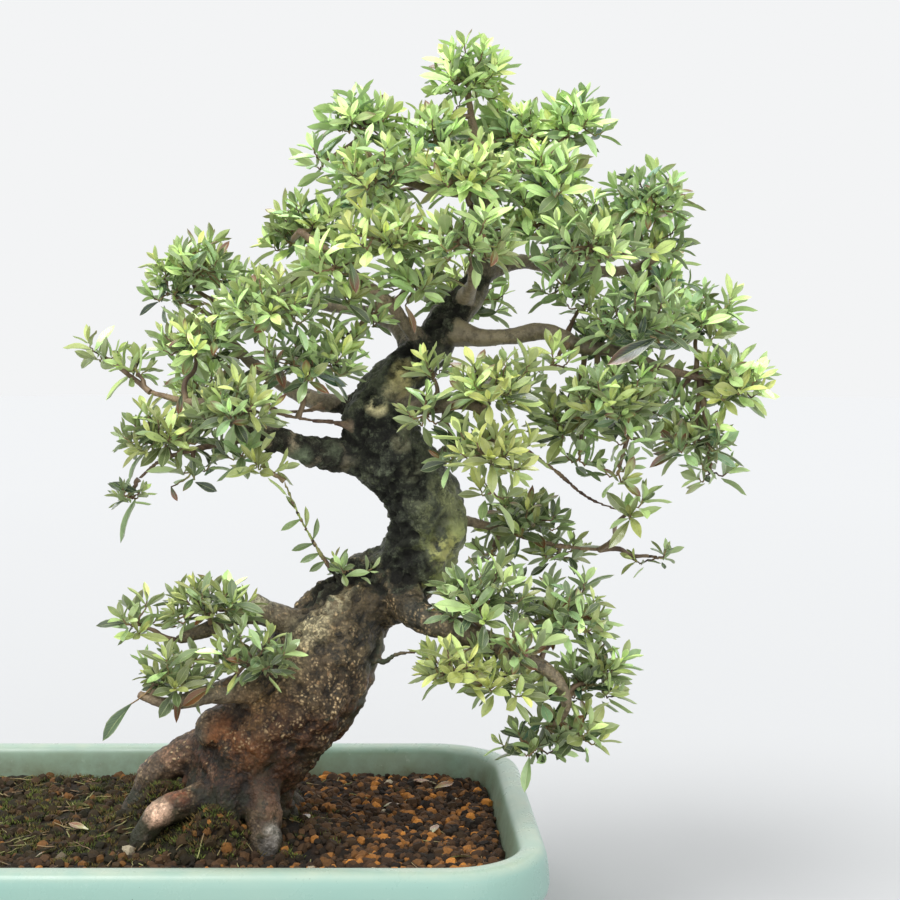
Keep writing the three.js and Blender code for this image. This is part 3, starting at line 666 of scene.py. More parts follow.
woodForm = {
    "voxel": 1.65 * mm,
    "swell": (24 * mm, 12 * mm),       # size and depth of the lumps
    "muscle": (11 * mm, 7 * mm),
    "pebble": (4.6 * mm, -0.9 * mm),
    "grit": (3 * mm, 2 * mm),
    # smooth-barked places: middle and reach
    "smooth": [((136, -4, 184), 34), ((128, -6, 162), 20), ((130, -4, 208), 22),
               ((100, -6, 104), 26), ((84, -6, 76), 26), ((60, -26, 150), 16),
               ((212, -24, 306), 40), ((150, -14, 312), 30)],
    # hollows and scars: middle and reach
    "knots": [((107, -24, 164), 12), ((69, -31, 128), 5), ((6, -36, 78), 11), ((40, -38, 60), 7),
              ((60, 30, 120), 8), ((78, -22, 150), 5)],
    # craggy black crust: middle and reach
    "crags": [((58, -12, 156), 16), ((76, -14, 168), 17), ((44, -16, 149), 9), ((98, -2, 262), 18),
              ((-14, -14, 62), 12), ((134, 8, 190), 8), ((90, 14, 280), 18), ((20, 30, 70), 14),
              ((90, -18, 246), 24), ((104, -22, 228), 22), ((96, -18, 208), 22),
              ((104, -18, 190), 18), ((110, -20, 166), 20), ((90, -24, 158), 13),
              ((112, -12, 294), 18), ((130, -6, 314), 15),
              ((80, -8, 240), 22), ((62, -16, 236), 17), ((48, -24, 240), 14), ((32, -30, 245), 12),
              ((98, 12, 240), 22), ((84, 8, 262), 20), ((112, 12, 210), 20), ((110, 12, 180), 18),
              ((140, -2, 326), 14), ((152, 0, 344), 11), ((118, -30, 142), 12)],
    "crag": (5.5 * mm, 9 * mm),
    "reliefRange": 2.6,                # millimetres of relief from the deepest painted shade to the brightest painted highlight
    "reliefPasses": 12,
    "stoutRadius": 24,                 # wood of this radius gets the whole relief
    "girthScale": 36,
    "knotSteps": [(1.0, -0.9), (0.75, -1.4), (0.5, -2.2)],   # share of the reach, and depth
    "carrierRadii": (2.0, 1.6, 1.3, 1.15),
    # dark and pale tone of each kind of bark
    "rootBark": ("#22150e", "#6e4a31"),
    "trunkBark": ("#2e261a", "#857455"),
    "upperBark": ("#24281f", "#5e6349"),
    "limbBark": ("#302a23", "#8f8269"),
    "twigBark": ("#4a372c", "#8a765c"),
    "scales": ("#7d6040", "#dcc294"),
    "crust": ("#181914", "#555b49"),
    "patches": "#1f201a",
    "flecks": "#1b1b16",
    "hollows": "#12110d",
    "soilLineDark": "#17130d",
    "moss": "#262b15",
    # places with a colour of their own, and painted highlights and painted shade, under the scales
    # and the crust:
    # middle, where it fades from and to, colour and strength
    "spotsAndPaintedLight": [
        ((136, -10, 183), 9, 27, "#8a9058", 1), ((131, -14, 207), 8, 22, "#888c60", 0.95),
        # the pale yellow spot at 133, -16, 179 is a painted highlight
        ((127, -14, 162), 8, 18, "#747d44", 0.95), ((133, -16, 179), 5, 12, "#b1af6e", 0.95),
        # the dark spot at 146, -4, 186 is painted shade on the trunk's right edge
        ((129, -18, 197), 4, 9, "#24261b", 0.95), ((146, -4, 186), 5, 11, "#4a5138", 0.8),
        ((74, -24, 166), 6, 16, "#6f7562", 0.85), ((100, -32, 150), 8, 22, "#2b2419", 0.8),
        # the pale streak from 62, -28, 151 down to 38, -34, 116 is a painted highlight on the
        # trunk's upper left
        ((62, -28, 151), 8, 18, "#b9b08d", 0.95), ((48, -31, 132), 8, 18, "#b0a582", 0.9),
        ((38, -34, 116), 6, 16, "#a4926c", 0.7), ((90, -30, 134), 8, 26, "#3d3424", 0.8),
        # the dark grey-green spots at 99, -12, 106 and at 84, -12, 72 are greenish bark and painted
        # shade on the trunk's right side
        ((66, -36, 104), 8, 26, "#473825", 0.75), ((99, -12, 106), 10, 24, "#3a4435", 0.9),
        ((92, -20, 86), 5, 16, "#69735c", 0.7), ((84, -12, 72), 8, 26, "#333a2c", 0.9),
        # the pale spot at -41, -46, 22 is a painted highlight on the knob root
        ((-22, -40, 27), 9, 16, "#261b13", 0.95), ((-41, -46, 22), 5, 11, "#d9b398", 1),
        ((22, -46, 26), 8, 18, "#38271b", 0.8), ((-2, -44, 22), 10, 24, "#1d150f", 0.95),
        ((31, -50, 12), 4, 9, "#9c978e", 0.9), ((28, -54, 2), 4, 9, "#98928a", 0.85),
        # the spot at 58, -14, 46 is greenish bark and painted shade on the trunk's right side
        ((6, -36, 6), 8, 26, "#1c1711", 0.9), ((58, -14, 46), 8, 28, "#35362a", 0.85),
        # the pale spots at -36, -6, 50 and at -16, -34, 44 are painted highlights on the roots
        ((28, -44, 30), 6, 16, "#5c4030", 0.7), ((-36, -6, 50), 4, 14, "#a67c60", 0.9),
        ((-16, -34, 44), 3, 9, "#d8b08c", 1), ((-2, -28, 64), 5, 16, "#9a6238", 0.8),
        ((20, -36, 84), 6, 22, "#7e6038", 0.65), ((14, -38, 58), 4, 15, "#82522e", 0.6),
        ((-30, -36, 30), 3, 10, "#94593a", 0.9), ((-60, -4, 22), 6, 22, "#33261d", 0.9),
        ((2, -34, 30), 6, 20, "#241a12", 0.85), ((26, -40, 20), 3, 10, "#a08064", 0.7),
        ((96, 26, 210), 14, 40, "#686f46", 0.8), ((50, 34, 90), 14, 44, "#6b583a", 0.7),
        # the dark spots at 120, -32, 268 and at 124, -36, 138 are painted shade on the bases of two
        # limbs
        ((18, -22, 145), 5, 15, "#a8a588", 1), ((120, -32, 268), 8, 24, "#2c2d26", 0.9),
        ((124, -36, 138), 8, 24, "#34352c", 0.85), ((46, -24, 196), 14, 32, "#94a05c", 1),
        ((92, -26, 334), 8, 22, "#a9937c", 0.8), ((160, -20, 310), 8, 30, "#8b8068", 0.6),
    ],
    # the same for worn places in the crust
    "wornPlaces": [
        ((109, -18, 283), 6, 14, "#a39a68", 0.95), ((101, -22, 277), 4, 9, "#98906a", 0.8),
        ((91, -24, 267), 5, 9, "#b5ad84", 1), ((106, -27, 244), 3, 8, "#77755c", 0.8),
        ((112, -26, 228), 3, 9, "#5d5f4a", 0.8), ((44, -26, 236), 4, 10, "#667059", 0.9),
        ((64, -20, 240), 3, 8, "#5c634f", 0.7), ((112, -26, 256), 3, 8, "#7d7a60", 0.8),
    ],
}


def barkMaterial():
    form = woodForm
    material, tree, shader = startMaterial("barkWithMoss", IOR=1.45)
    place = objectPlace(tree)
    girth = addNode(tree, "Attribute", {}, attribute_name="girth").outputs["Fac"]
    relief = addNode(tree, "Attribute", {}, attribute_name="relief").outputs["Fac"]
    crust = addNode(tree, "Attribute", {}, attribute_name="crust").outputs["Fac"]
    calm = addNode(tree, "Attribute", {}, attribute_name="calm").outputs["Fac"]
    height = addNode(tree, "SeparateXYZ", {0: place}).outputs["Z"]
    wander = sums(tree, "MULTIPLY_ADD", grainOf(tree, place, 22, 4), 0.09)
    wander.node.inputs[2].default_value = -0.045
    level = sums(tree, "ADD", height, wander)
    broad = spread(tree, grainOf(tree, place, 34, 5, 0.6), 0.38, 0.62)
    mottle = spread(tree, grainOf(tree, place, 110, 6, 0.75), 0.36, 0.64)
    drawn = addNode(tree, "VectorMath", {0: place, 1: (1.0, 1.0, 0.3)}, operation="MULTIPLY")
    streaks = grainOf(tree, drawn.outputs[0], 190, 6, 0.7)  # down the trunk
    flow = spread(tree, streaks, 0.36, 0.64)
    broad = sums(tree, "MULTIPLY", broad, 0.35)
    mottle = sums(tree, "ADD", sums(tree, "MULTIPLY", mottle, 0.35), broad)
    mottle = sums(tree, "ADD", mottle, sums(tree, "MULTIPLY", flow, 0.3))

    def bark(share, tones):
        return mixColour(tree, share, colour(form[tones][0]), colour(form[tones][1]))

    reddish, tan, grey = (bark(mottle, tones) for tones in ("rootBark", "trunkBark", "upperBark"))
    body = mixColour(tree, spread(tree, level, 0.15, 0.18), reddish, tan)
    body = mixColour(tree, spread(tree, level, 0.222, 0.248), body, grey)
    body = mixColour(tree, spread(tree, girth, 0.42, 0.2), body, bark(mottle, "limbBark"))
    twig = bark(spread(tree, grainOf(tree, place, 60, 4), 0.35, 0.65), "twigBark")
    body = mixColour(tree, spread(tree, girth, 0.11, 0.06), body, twig)
    stout = spread(tree, girth, 0.08, 0.16)
    ragged = spread(tree, grainOf(tree, place, 70, 7, 0.7), 0.4, 0.5)

    def stainAndPaintedLight(under, places):
        # places of their own colour, some of them painted highlights and painted shade: middle,
        # where it fades from and to, colour and strength
        for centre, inner, outer, code, most in places:
            spot = spotAt(tree, place, treePoint(*centre), inner * mm, outer * mm)
            share = sums(tree, "MULTIPLY", sums(tree, "MULTIPLY", spot, ragged), most)
            under = mixColour(tree, share, under, colour(code))
        return under

    body = stainAndPaintedLight(body, form["spotsAndPaintedLight"])
    # black growth in patches and flecks, little of it on the smooth bark
    growth = sums(tree, "MULTIPLY", stout, spread(tree, calm, 0, 1, 0.8, 0.3))
    patch = spread(tree, grainOf(tree, place, 30, 9, 0.72), 0.56, 0.59)
    body = mixColour(tree, sums(tree, "MULTIPLY", patch, growth), body, colour(form["patches"]))
    fleck = spread(tree, grainOf(tree, place, 125, 7, 0.8), 0.57, 0.61)
    body = mixColour(tree, sums(tree, "MULTIPLY", fleck, growth), body, colour(form["flecks"]))
    # small scales with dark joints; in the sandy zone many of them are gold, palest at their
    # middles as a painted highlight
    shake = addNode(tree, "TexNoise", {"Vector": place, "Scale": 160, "Detail": 3}).outputs["Color"]
    shaken = addNode(tree, "VectorMath", {0: shake, 1: (0.006,) * 3, 2: place},
                     operation="MULTIPLY_ADD").outputs[0]
    cells = addNode(tree, "TexVoronoi", {"Vector": shaken, "Scale": 480}, feature="F1").outputs
    ofCell = addNode(tree, "SeparateColor", {0: cells["Color"]}).outputs
    sandy = sums(tree, "MULTIPLY", spread(tree, level, 0.25, 0.225),
                 spread(tree, grainOf(tree, place, 42, 5, 0.65), 0.46, 0.58, 0.05, 1))
    aboveSoil = spread(tree, level, treeFoot.z + 0.03, treeFoot.z + 0.06, 0.2, 1)
    sandy = sums(tree, "MULTIPLY", sandy, aboveSoil)
    chosen = sums(tree, "MULTIPLY", spread(tree, ofCell["Red"], 0.3, 0.9),
                  spread(tree, cells["Distance"], 0.62, 0.25))
    goldAndGlint = sums(tree, "MULTIPLY", chosen, sandy)
    goldAndGlint = sums(tree, "MULTIPLY", goldAndGlint, sums(tree, "SUBTRACT", 1, calm))
    goldAndGlint = sums(tree, "MULTIPLY", sums(tree, "MULTIPLY", goldAndGlint, stout), 0.85)
    body = mixColour(tree, goldAndGlint, body, bark(ofCell["Green"], "scales"))
    scaly = sums(tree, "MULTIPLY", spread(tree, girth, 0.1, 0.4),
                 spread(tree, grainOf(tree, place, 34, 3), 0.4, 0.55, 0.25, 1))
    scaly = sums(tree, "MULTIPLY", scaly, spread(tree, calm, 0, 1, 1, 0.15))
    joints = spread(tree, cells["Distance"], 0.2, 0.62, 1.3, 0.42)
    body = mixColour(tree, scaly, body, mixColour(tree, 1.0, body, joints, "MULTIPLY"))
    # rough black crust over the craggy places, worn pale here and there
    torn = sums(tree, "MULTIPLY_ADD", grainOf(tree, place, 75, 8, 0.75), 2.4)
    torn.node.inputs[2].default_value = -1.2
    cover = spread(tree, sums(tree, "ADD", crust, torn), 0.25, 0.5, 0, 0.92)
    crustTone = bark(spread(tree, grainOf(tree, place, 150, 6, 0.8), 0.5, 0.68), "crust")
    body = mixColour(tree, cover, body, crustTone)
    body = stainAndPaintedLight(body, form["wornPlaces"])
    # painted highlight on what stands out, painted shade in the hollows
    body = mixColour(tree, 1.0, body, spread(tree, relief, 0.45, 0.9, 1, 1.5), "MULTIPLY")
    body = mixColour(tree, spread(tree, relief, 0.4, 0.05, 0, 0.75), body, colour(form["hollows"]))
    crumbs = spread(tree, grainOf(tree, place, 420, 6, 0.8), 0.32, 0.68, 0.6, 1.4)
    crumbs = mixColour(tree, spread(tree, calm, 0, 1, 1, 0.35), colour("#ffffff"), crumbs)
    body = mixColour(tree, 1.0, body, crumbs, "MULTIPLY")
    # bark darker just above the soil, and moss where the roots go into the ground
    soilLineDark = spread(tree, level, treeFoot.z + 0.022, treeFoot.z + 0.002)
    body = mixColour(tree, sums(tree, "MULTIPLY", soilLineDark, 0.85), body, colour(form["soilLineDark"]))
    mossy = sums(tree, "MULTIPLY", spread(tree, grainOf(tree, place, 60, 6, 0.7), 0.48, 0.55),
                 spread(tree, level, treeFoot.z + 0.07, treeFoot.z + 0.01, 0, 0.75))
    body = mixColour(tree, mossy, body, colour(form["moss"]))
    feed(tree, shader.inputs["Base Color"], body)
    rough = spread(tree, cover, 0, 0.9, 0.45, 0.9)
    patchy = spread(tree, grainOf(tree, place, 90, 4), 0.3, 0.7, -0.08, 0.12)
    rough = sums(tree, "ADD", rough, patchy)
    feed(tree, shader.inputs["Roughness"], rough)
    uneven = spread(tree, calm, 0, 1, 0.6, 0.14)
    scales = bumpOf(tree, cells["Distance"], uneven, -0.9 * mm)
    coarse = grainOf(tree, place, 330, 7, 0.8)
    feed(tree, shader.inputs["Normal"], bumpOf(tree, coarse, uneven, 1.6 * mm, scales))
    return material


def rodAlong(path):
    # a closed rod along a path, as thick as the path says
    deselectAll()
    bpy.ops.curve.primitive_bezier_curve_add(location=(0, 0, 0))
    rod = bpy.context.object
    spline = rod.data.splines[0]
    spline.bezier_points.add(len(path) - 2)
    for point, (x, y, z, radius) in zip(spline.bezier_points, path):
        point.co = treePoint(x, y, z)
        point.handle_left_type = point.handle_right_type = "AUTO"
        point.radius = radius
    rod.data.bevel_depth = mm
    rod.data.bevel_resolution = 4 if path[0][3] > 5 else 2
    rod.data.resolution_u = 8 if path[0][3] > 5 else 6
    rod.data.use_fill_caps = True
    bpy.ops.object.convert(target="MESH")
    return bpy.context.object


def roughen(piece, kind, size, depth, group):
    texture = bpy.data.textures.new(kind.lower() + "Relief", kind)
    texture.noise_scale = size
    if kind == "CLOUDS":
        texture.noise_depth = 3
    else:
        texture.distance_metric = "DISTANCE"
    applyModifier(piece, "DISPLACE", texture=texture, strength=depth, mid_level=0.5,
                  vertex_group=group, texture_coords="LOCAL")
    bpy.data.textures.remove(texture)


def girthOf(points, paths):
    # radius of the wood round each point, taken from the nearest place on its paths
    rows, radii = [], []
    for path in paths:
        for point, radius in pathPoints(path, 5):
            rows.append(tuple(treePoint(*point)))
            radii.append(radius)
    rows, radii = np.array(rows), np.array(radii)
    found = np.empty(len(points))
    for first in range(0, len(points), 4000):
        part = points[first:first + 4000]
        away = np.linalg.norm(part[:, None] - rows[None], axis=2) - radii * mm * 0.9
        found[first:first + 4000] = radii[away.argmin(1)]
    return found


def reliefOf(piece):
    # how far each point stands out of its surroundings, 0.5 where it is level with them
    mesh = piece.data
    ends = np.empty(len(mesh.edges) * 2, dtype=int)
    mesh.edges.foreach_get("vertices", ends)
    first, second = ends.reshape(-1, 2).T
    points, normals = np.empty(len(mesh.vertices) * 3), np.empty(len(mesh.vertices) * 3)
    mesh.vertices.foreach_get("co", points)
    mesh.vertices.foreach_get("normal", normals)
    calm = points = points.reshape(-1, 3)
    total = len(points)
    neighbours = np.bincount(np.concatenate((first, second)), minlength=total)[:, None]
    for _ in range(woodForm["reliefPasses"]):
        calm = np.stack([np.bincount(first, calm[second, axis], total)
                         + np.bincount(second, calm[first, axis], total) for axis in range(3)], 1)
        calm /= neighbours
    proud = ((points - calm) * normals.reshape(-1, 3)).sum(1) / mm
    return np.clip(0.5 + proud / woodForm["reliefRange"], 0, 1)


def nearnessTo(piece, places):
    # 1 for the points round the middle of any of the places, falling to 0 at its ragged reach
    points = np.empty(len(piece.data.vertices) * 3)
    piece.data.vertices.foreach_get("co", points)
    ragged = [noise.noise(v.co * 55) + 0.6 * noise.noise(v.co * 130) for v in piece.data.vertices]
    ragged = 1 + 0.55 * np.array(ragged)
    nearness = np.zeros(len(piece.data.vertices))
    for centre, reach in places:
        away = np.linalg.norm(points.reshape(-1, 3) - np.array(treePoint(*centre)), axis=1) * ragged
        nearness = np.maximum(nearness, np.clip(1.6 - 1.6 * away / (reach * mm), 0, 1))
    return nearness


def weighPoints(piece, name, weights):
    # a vertex group with the weights in a few steps, because that is much faster
    steps = 24
    group = piece.vertex_groups.new(name=name)
    levels = np.round(weights * steps).astype(int)
    for level in np.unique(levels):
        group.add(np.flatnonzero(levels == level).tolist(), float(level / steps), "REPLACE")


def storeValues(piece, name, values):
    store = piece.data.attributes.new(name, "FLOAT", "POINT")
    store.data.foreach_set("value", values)


def makeTrunk(twigs):
    form = woodForm
    paths = [trunkPath, *rootPaths.values(), *limbPaths.values(), *stumpPaths.values()]
    wood = joinPieces("azaleaWood", [rodAlong(path) for path in paths])
    applyModifier(wood, "REMESH", mode="VOXEL", voxel_size=form["voxel"])
    applyModifier(wood, "SMOOTH", factor=0.5, iterations=2)
    points = np.empty(len(wood.data.vertices) * 3)
    wood.data.vertices.foreach_get("co", points)
    girth = girthOf(points.reshape(-1, 3), paths)
    share = np.clip(girth / form["stoutRadius"], 0.06, 1)
    weighPoints(wood, "thickness", share)
    for part in ("swell", "muscle"):
        roughen(wood, "CLOUDS", *form[part], "thickness")
    calm = nearnessTo(wood, form["smooth"])
    weighPoints(wood, "pebbly", share * (1 - 0.85 * calm))
    roughen(wood, "VORONOI", *form["pebble"], "pebbly")
    roughen(wood, "CLOUDS", *form["grit"], "pebbly")
    crust = nearnessTo(wood, form["crags"])
    storeValues(wood, "crust", crust)
    storeValues(wood, "calm", calm)
    weighPoints(wood, "craggy", crust)
    roughen(wood, "CLOUDS", *form["crag"], "craggy")
    for centre, reach in form["knots"]:
        middle = treePoint(*centre)
        for size, depth in form["knotSteps"]:
            pickPoints(wood, lambda co: (co - middle).length < reach * size * mm)
            bpy.ops.transform.shrink_fatten(value=depth * mm)
    bpy.ops.object.mode_set(mode="OBJECT")
    storeValues(wood, "girth", girth / form["girthScale"])
    # the relief sets where the bark gets painted highlights and painted shade
    storeValues(wood, "relief", reliefOf(wood))
    wood.data.materials.clear()
    print("trunk grown:", len(wood.data.polygons), "faces")
    # the thin twigs that carry the sprays
    carried = []
    for foot, start, fork in twigs.values():
        sway = min(7, (start - foot).length * 0.16)
        bend = Vector((noise.noise(foot * 0.1), noise.noise(fork * 0.1),
                       0.4 * noise.noise(start * 0.1)))
        near, far = foot.lerp(start, 0.35) + bend * 2 * sway, foot.lerp(start, 0.7) - bend * sway
        end = start + (fork - start) * 0.2
        places = zip((foot, near, far, end), form["carrierRadii"])
        carried.append(rodAlong([(*place, radius) for place, radius in places]))
    carried = joinPieces("carriers", carried)
    roughen(carried, "CLOUDS", 3 * mm, 0.7 * mm, "")
    for value, level in (("girth", 0.05), ("relief", 0.6), ("crust", 0), ("calm", 1)):
        storeValues(carried, value, [level] * len(carried.data.vertices))
    wood = joinPieces("azaleaWood", [wood, carried])
    wood.data.materials.append(barkMaterial())
    bpy.ops.object.shade_smooth()
    setPiece(wood, "bark", "trunk")
    print("wood finished:", sum(len(f.vertices) - 2 for f in wood.data.polygons), "triangles")


# leaves and sprays

leafForm = {
    "columns": 6,
    "outline": [0.10, 0.40, 0.74, 0.97, 1.0, 0.68, 0.0],
    "length": 16.5 * mm,
    "width": 5.9 * mm,
    "keel": 0.055,
    "thickness": 0.022,
    "kinds": [  # width, droop at the tip, sideways sweep, keel
        (1.0, 0.10, 0.0, 1.0), (0.86, 0.20, 0.05, 1.4), (1.12, 0.02, -0.03, 0.8),
        (0.95, 0.30, -0.07, 1.2), (0.78, -0.10, 0.06, 1.7),
    ],
    "dark": "#344f40",
    "mid": "#8da46a",
    "fresh": "#d2d87c",
    "bronze": "#74432c",
    "dry": "#8a5a33",
    "rib": "#c6d19a",
    "veins": "#aec07c",
    "underside": "#aebf86",
    "edgeSheen": "#d3dba8",
    "shoot": ("#43352e", "#a38762"),
    "greenShoot": "#8f9c5a",
    "leavesOfWhorl": (6, 10),
    "reddenedWhorls": 0.05,            # share of the whorls whose old leaves turn red
    "reddenedLeaves": 0.035,           # and of single leaves on the others
    "whorlsOfSpray": (3, 22),
    "whorlSpace": 560,                 # product of a spray's half sizes for each of its whorls
}


def leafMaterial():
    form = leafForm
    material, tree, shader = startMaterial("azaleaLeaf", IOR=1.6,
                                           Coat_Weight=0.5, Coat_Roughness=0.18)
    tint = addNode(tree, "Attribute", {}, attribute_name="tint")
    parts = addNode(tree, "SeparateColor", {0: tint.outputs["Color"]}).outputs
    upper = addNode(tree, "Attribute", {}, attribute_name="upperSide").outputs["Fac"]
    uvPlace = tree.nodes.new("ShaderNodeTexCoord").outputs["UV"]
    place = objectPlace(tree)
    age = spread(tree, parts["Red"], 0, 0.5)
    body = mixColour(tree, age, colour(form["dark"]), colour(form["mid"]))
    # the third tint sets the brightness: random tone, and painted light and shade by the whorl's
    # place in the spray
    light = spread(tree, sums(tree, "POWER", parts["Blue"], 2.1), 0, 1, 0.36, 3.3)
    body = mixColour(tree, 1.0, body, light, "MULTIPLY")
    young = mixColour(tree, 1.0, colour(form["fresh"]), spread(tree, parts["Blue"], 0, 1, 0.7, 1.3),
                      "MULTIPLY")
    body = mixColour(tree, spread(tree, parts["Red"], 0.5, 1), body, young)
    blotch = spread(tree, grainOf(tree, place, 140, 4, 0.6), 0.3, 0.7, 0.82, 1.16)
    body = mixColour(tree, 1.0, body, blotch, "MULTIPLY")
    uv = addNode(tree, "SeparateXYZ", {0: uvPlace}).outputs
    offRib = sums(tree, "ABSOLUTE", sums(tree, "SUBTRACT", uv["Y"], 0.5), 0)
    # reddening from the tip and the edges, by the second tint
    tipward = sums(tree, "ADD", uv["X"], sums(tree, "MULTIPLY", offRib, 0.7))
    reds = sums(tree, "ADD", tipward, parts["Green"])
    body = mixColour(tree, spread(tree, reds, 1.25, 1.75), body, colour(form["bronze"]))
    dry = spread(tree, parts["Green"], 0.85, 1.0)
    body = mixColour(tree, dry, body, colour(form["dry"]))
    rib = spread(tree, offRib, 0.06, 0.015)
    body = mixColour(tree, sums(tree, "MULTIPLY", rib, 0.4), body, colour(form["rib"]))
    slant = sums(tree, "SUBTRACT", uv["X"], sums(tree, "MULTIPLY", offRib, 0.55))
    veins = sums(tree, "SINE", sums(tree, "MULTIPLY", slant, 62), 0)
    veins = spread(tree, veins, 0.72, 1.0)
    body = mixColour(tree, sums(tree, "MULTIPLY", veins, 0.16), body, colour(form["veins"]))
    body = mixColour(tree, sums(tree, "MULTIPLY", sums(tree, "SUBTRACT", 1, upper), 0.5), body,
                     colour(form["underside"]))
    # a painted highlight along the leaf's edges
    edgeSheen = spread(tree, offRib, 0.4, 0.49)
    body = mixColour(tree, sums(tree, "MULTIPLY", edgeSheen, 0.35), body, colour(form["edgeSheen"]))
    feed(tree, shader.inputs["Base Color"], body)
    feed(tree, shader.inputs["Roughness"], spread(tree, upper, 0, 1, 0.55, 0.26))
    sunk = sums(tree, "ADD", veins, sums(tree, "MULTIPLY", rib, 1.6))
    hollow = bumpOf(tree, sunk, 0.4, -0.25 * mm)
    fine = grainOf(tree, place, 700, 3)
    feed(tree, shader.inputs["Normal"], bumpOf(tree, fine, 0.15, 0.2 * mm, hollow))
    return material


def shootMaterial():
    form = leafForm
    material, tree, shader = startMaterial("youngShoot", IOR=1.45)
    place = objectPlace(tree)
    body = mixColour(tree, spread(tree, grainOf(tree, place, 90, 4), 0.35, 0.65),
                     colour(form["shoot"][0]), colour(form["shoot"][1]))
    green = spread(tree, grainOf(tree, place, 45, 2), 0.5, 0.62)
    body = mixColour(tree, sums(tree, "MULTIPLY", green, 0.6), body, colour(form["greenShoot"]))
    feed(tree, shader.inputs["Base Color"], body)
    dull = spread(tree, grainOf(tree, place, 300, 3), 0.3, 0.7, 0.5, 0.85)
    feed(tree, shader.inputs["Roughness"], dull)
    feed(tree, shader.inputs["Normal"], bumpOf(tree, grainOf(tree, place, 500, 4), 0.5, 0.4 * mm))
    return material


def addTint(piece):
    piece.data.attributes.new("tint", "FLOAT_COLOR", "POINT")


def makeLeafMaster(index, material):
    # a thin closed blade, one long, its foot on the origin and its upper side up
    form = leafForm
    width, droop, sweep, keel = form["kinds"][index]
    columns = form["columns"]
    deselectAll()
    bpy.ops.mesh.primitive_grid_add(x_subdivisions=columns, y_subdivisions=2, size=1,
                                    location=(0.5, 0, 0))
    leaf = bpy.context.object
    bpy.ops.object.transform_apply(location=True, rotation=True, scale=True)
    slender = form["width"] / form["length"] * width
    for column, share in enumerate(form["outline"]):
        at = column / columns
        pickPoints(leaf, lambda co: abs(co.x - at) < 0.01)
        bpy.ops.transform.resize(value=(1, slender * share, 1), center_override=(at, 0, 0))
        rise = 0.05 * math.sin(3 * at) - droop * at ** 2
        bpy.ops.transform.translate(value=(0, sweep * at ** 2, rise))
    ribs = {round(column / columns, 3) for column in range(1, columns)}
    offRib = slender * 0.02
    bpy.ops.object.mode_set(mode="OBJECT")
    middles = [v.index for v in leaf.data.vertices if abs(v.co.y - sweep * v.co.x ** 2) < offRib]
    middles = {i for i in middles if round(leaf.data.vertices[i].co.x, 3) in ribs}

    def onRib(co):
        return any((co - leaf.data.vertices[i].co).length < 1e-6 for i in middles)

    pickPoints(leaf, onRib)
    bpy.ops.transform.translate(value=(0, 0, -form["keel"] * keel * slender * 3))
    # the underside: the same blade again, with its rib lower, joined along the edge
    bpy.ops.object.mode_set(mode="OBJECT")
    leaf.data.attributes.new("upperSide", "FLOAT", "FACE")
    upperFaces = len(leaf.data.polygons)
    bpy.ops.object.mode_set(mode="EDIT")
    bpy.ops.mesh.select_all(action="SELECT")
    bpy.ops.mesh.duplicate()
    bpy.ops.mesh.flip_normals()
    bpy.ops.object.mode_set(mode="OBJECT")
    lower = {v.index for v in leaf.data.vertices if v.index >= (columns + 1) * 3}
    keels = [v.index for v in leaf.data.vertices if v.index in lower
             and (v.index - (columns + 1) * 3) in middles]
    marks = [i in keels for i in range(len(leaf.data.vertices))]
    leaf.data.vertices.foreach_set("select", marks)
    leaf.data.edges.foreach_set("select", [False] * len(leaf.data.edges))
    leaf.data.polygons.foreach_set("select", [False] * len(leaf.data.polygons))
    bpy.ops.object.mode_set(mode="EDIT")
    bpy.ops.transform.translate(value=(0, 0, -form["thickness"]))
    bpy.ops.object.mode_set(mode="OBJECT")
    values = [1.0 if i < upperFaces else 0.0 for i in range(len(leaf.data.polygons))]
    leaf.data.attributes["upperSide"].data.foreach_set("value", values)
    bpy.ops.object.mode_set(mode="EDIT")
    bpy.ops.mesh.select_all(action="SELECT")
    bpy.ops.mesh.remove_doubles(threshold=0.002)
    bpy.ops.mesh.normals_make_consistent(inside=False)
    bpy.ops.object.mode_set(mode="OBJECT")
    bpy.ops.object.shade_smooth_by_angle(angle=math.radians(24))  # keeps the fold along the rib
    addTint(leaf)
    leaf.data.materials.append(material)
    leaf.name = "leaf"
    return leaf


def makeTwigMaster(index, material):
    # a knobbly five-sided twig, one long and one in radius, bent a little
    shift = random.Random(index)
    deselectAll()
    bpy.ops.mesh.primitive_circle_add(vertices=5, radius=1, fill_type="NGON", location=(0, 0, 0))
    twig = bpy.context.object
    bpy.ops.object.mode_set(mode="EDIT")
    bpy.ops.mesh.select_all(action="SELECT")
    bpy.ops.mesh.flip_normals()
    at = Vector((0, 0, 0))
    rings = 4
    for ring in range(rings):
        side = Vector((shift.uniform(-1, 1), shift.uniform(-1, 1), 0))
        side *= 1.1 if ring < rings - 1 else 0
        step = Vector((0, 0, 1 / rings)) + side - Vector((at.x, at.y, 0))
        bpy.ops.mesh.extrude_region_move(TRANSFORM_OT_translate={"value": step})
        at += step
        grow = 0.93 + (0.14 if ring % 2 else -0.1)
        bpy.ops.transform.resize(value=(grow, grow, 1), center_override=at)
    bpy.ops.mesh.select_all(action="SELECT")
    bpy.ops.mesh.normals_make_consistent(inside=False)
    bpy.ops.object.mode_set(mode="OBJECT")
    bpy.ops.object.shade_smooth_by_angle(angle=math.radians(75))
    addTint(twig)
    twig.data.materials.append(material)
    twig.name = "twig"
    return twig


def spreadWay(index, count, turn):
    # directions spread evenly round a spray, from its top down to a little below its middle
    height = 0.95 - 1.45 * (index + 0.5) / count
    ring = math.sqrt(max(0, 1 - height * height))
    angle = turn + index * math.pi * (3 - math.sqrt(5))  # the golden angle
    return Vector((ring * math.cos(angle), ring * math.sin(angle), height))


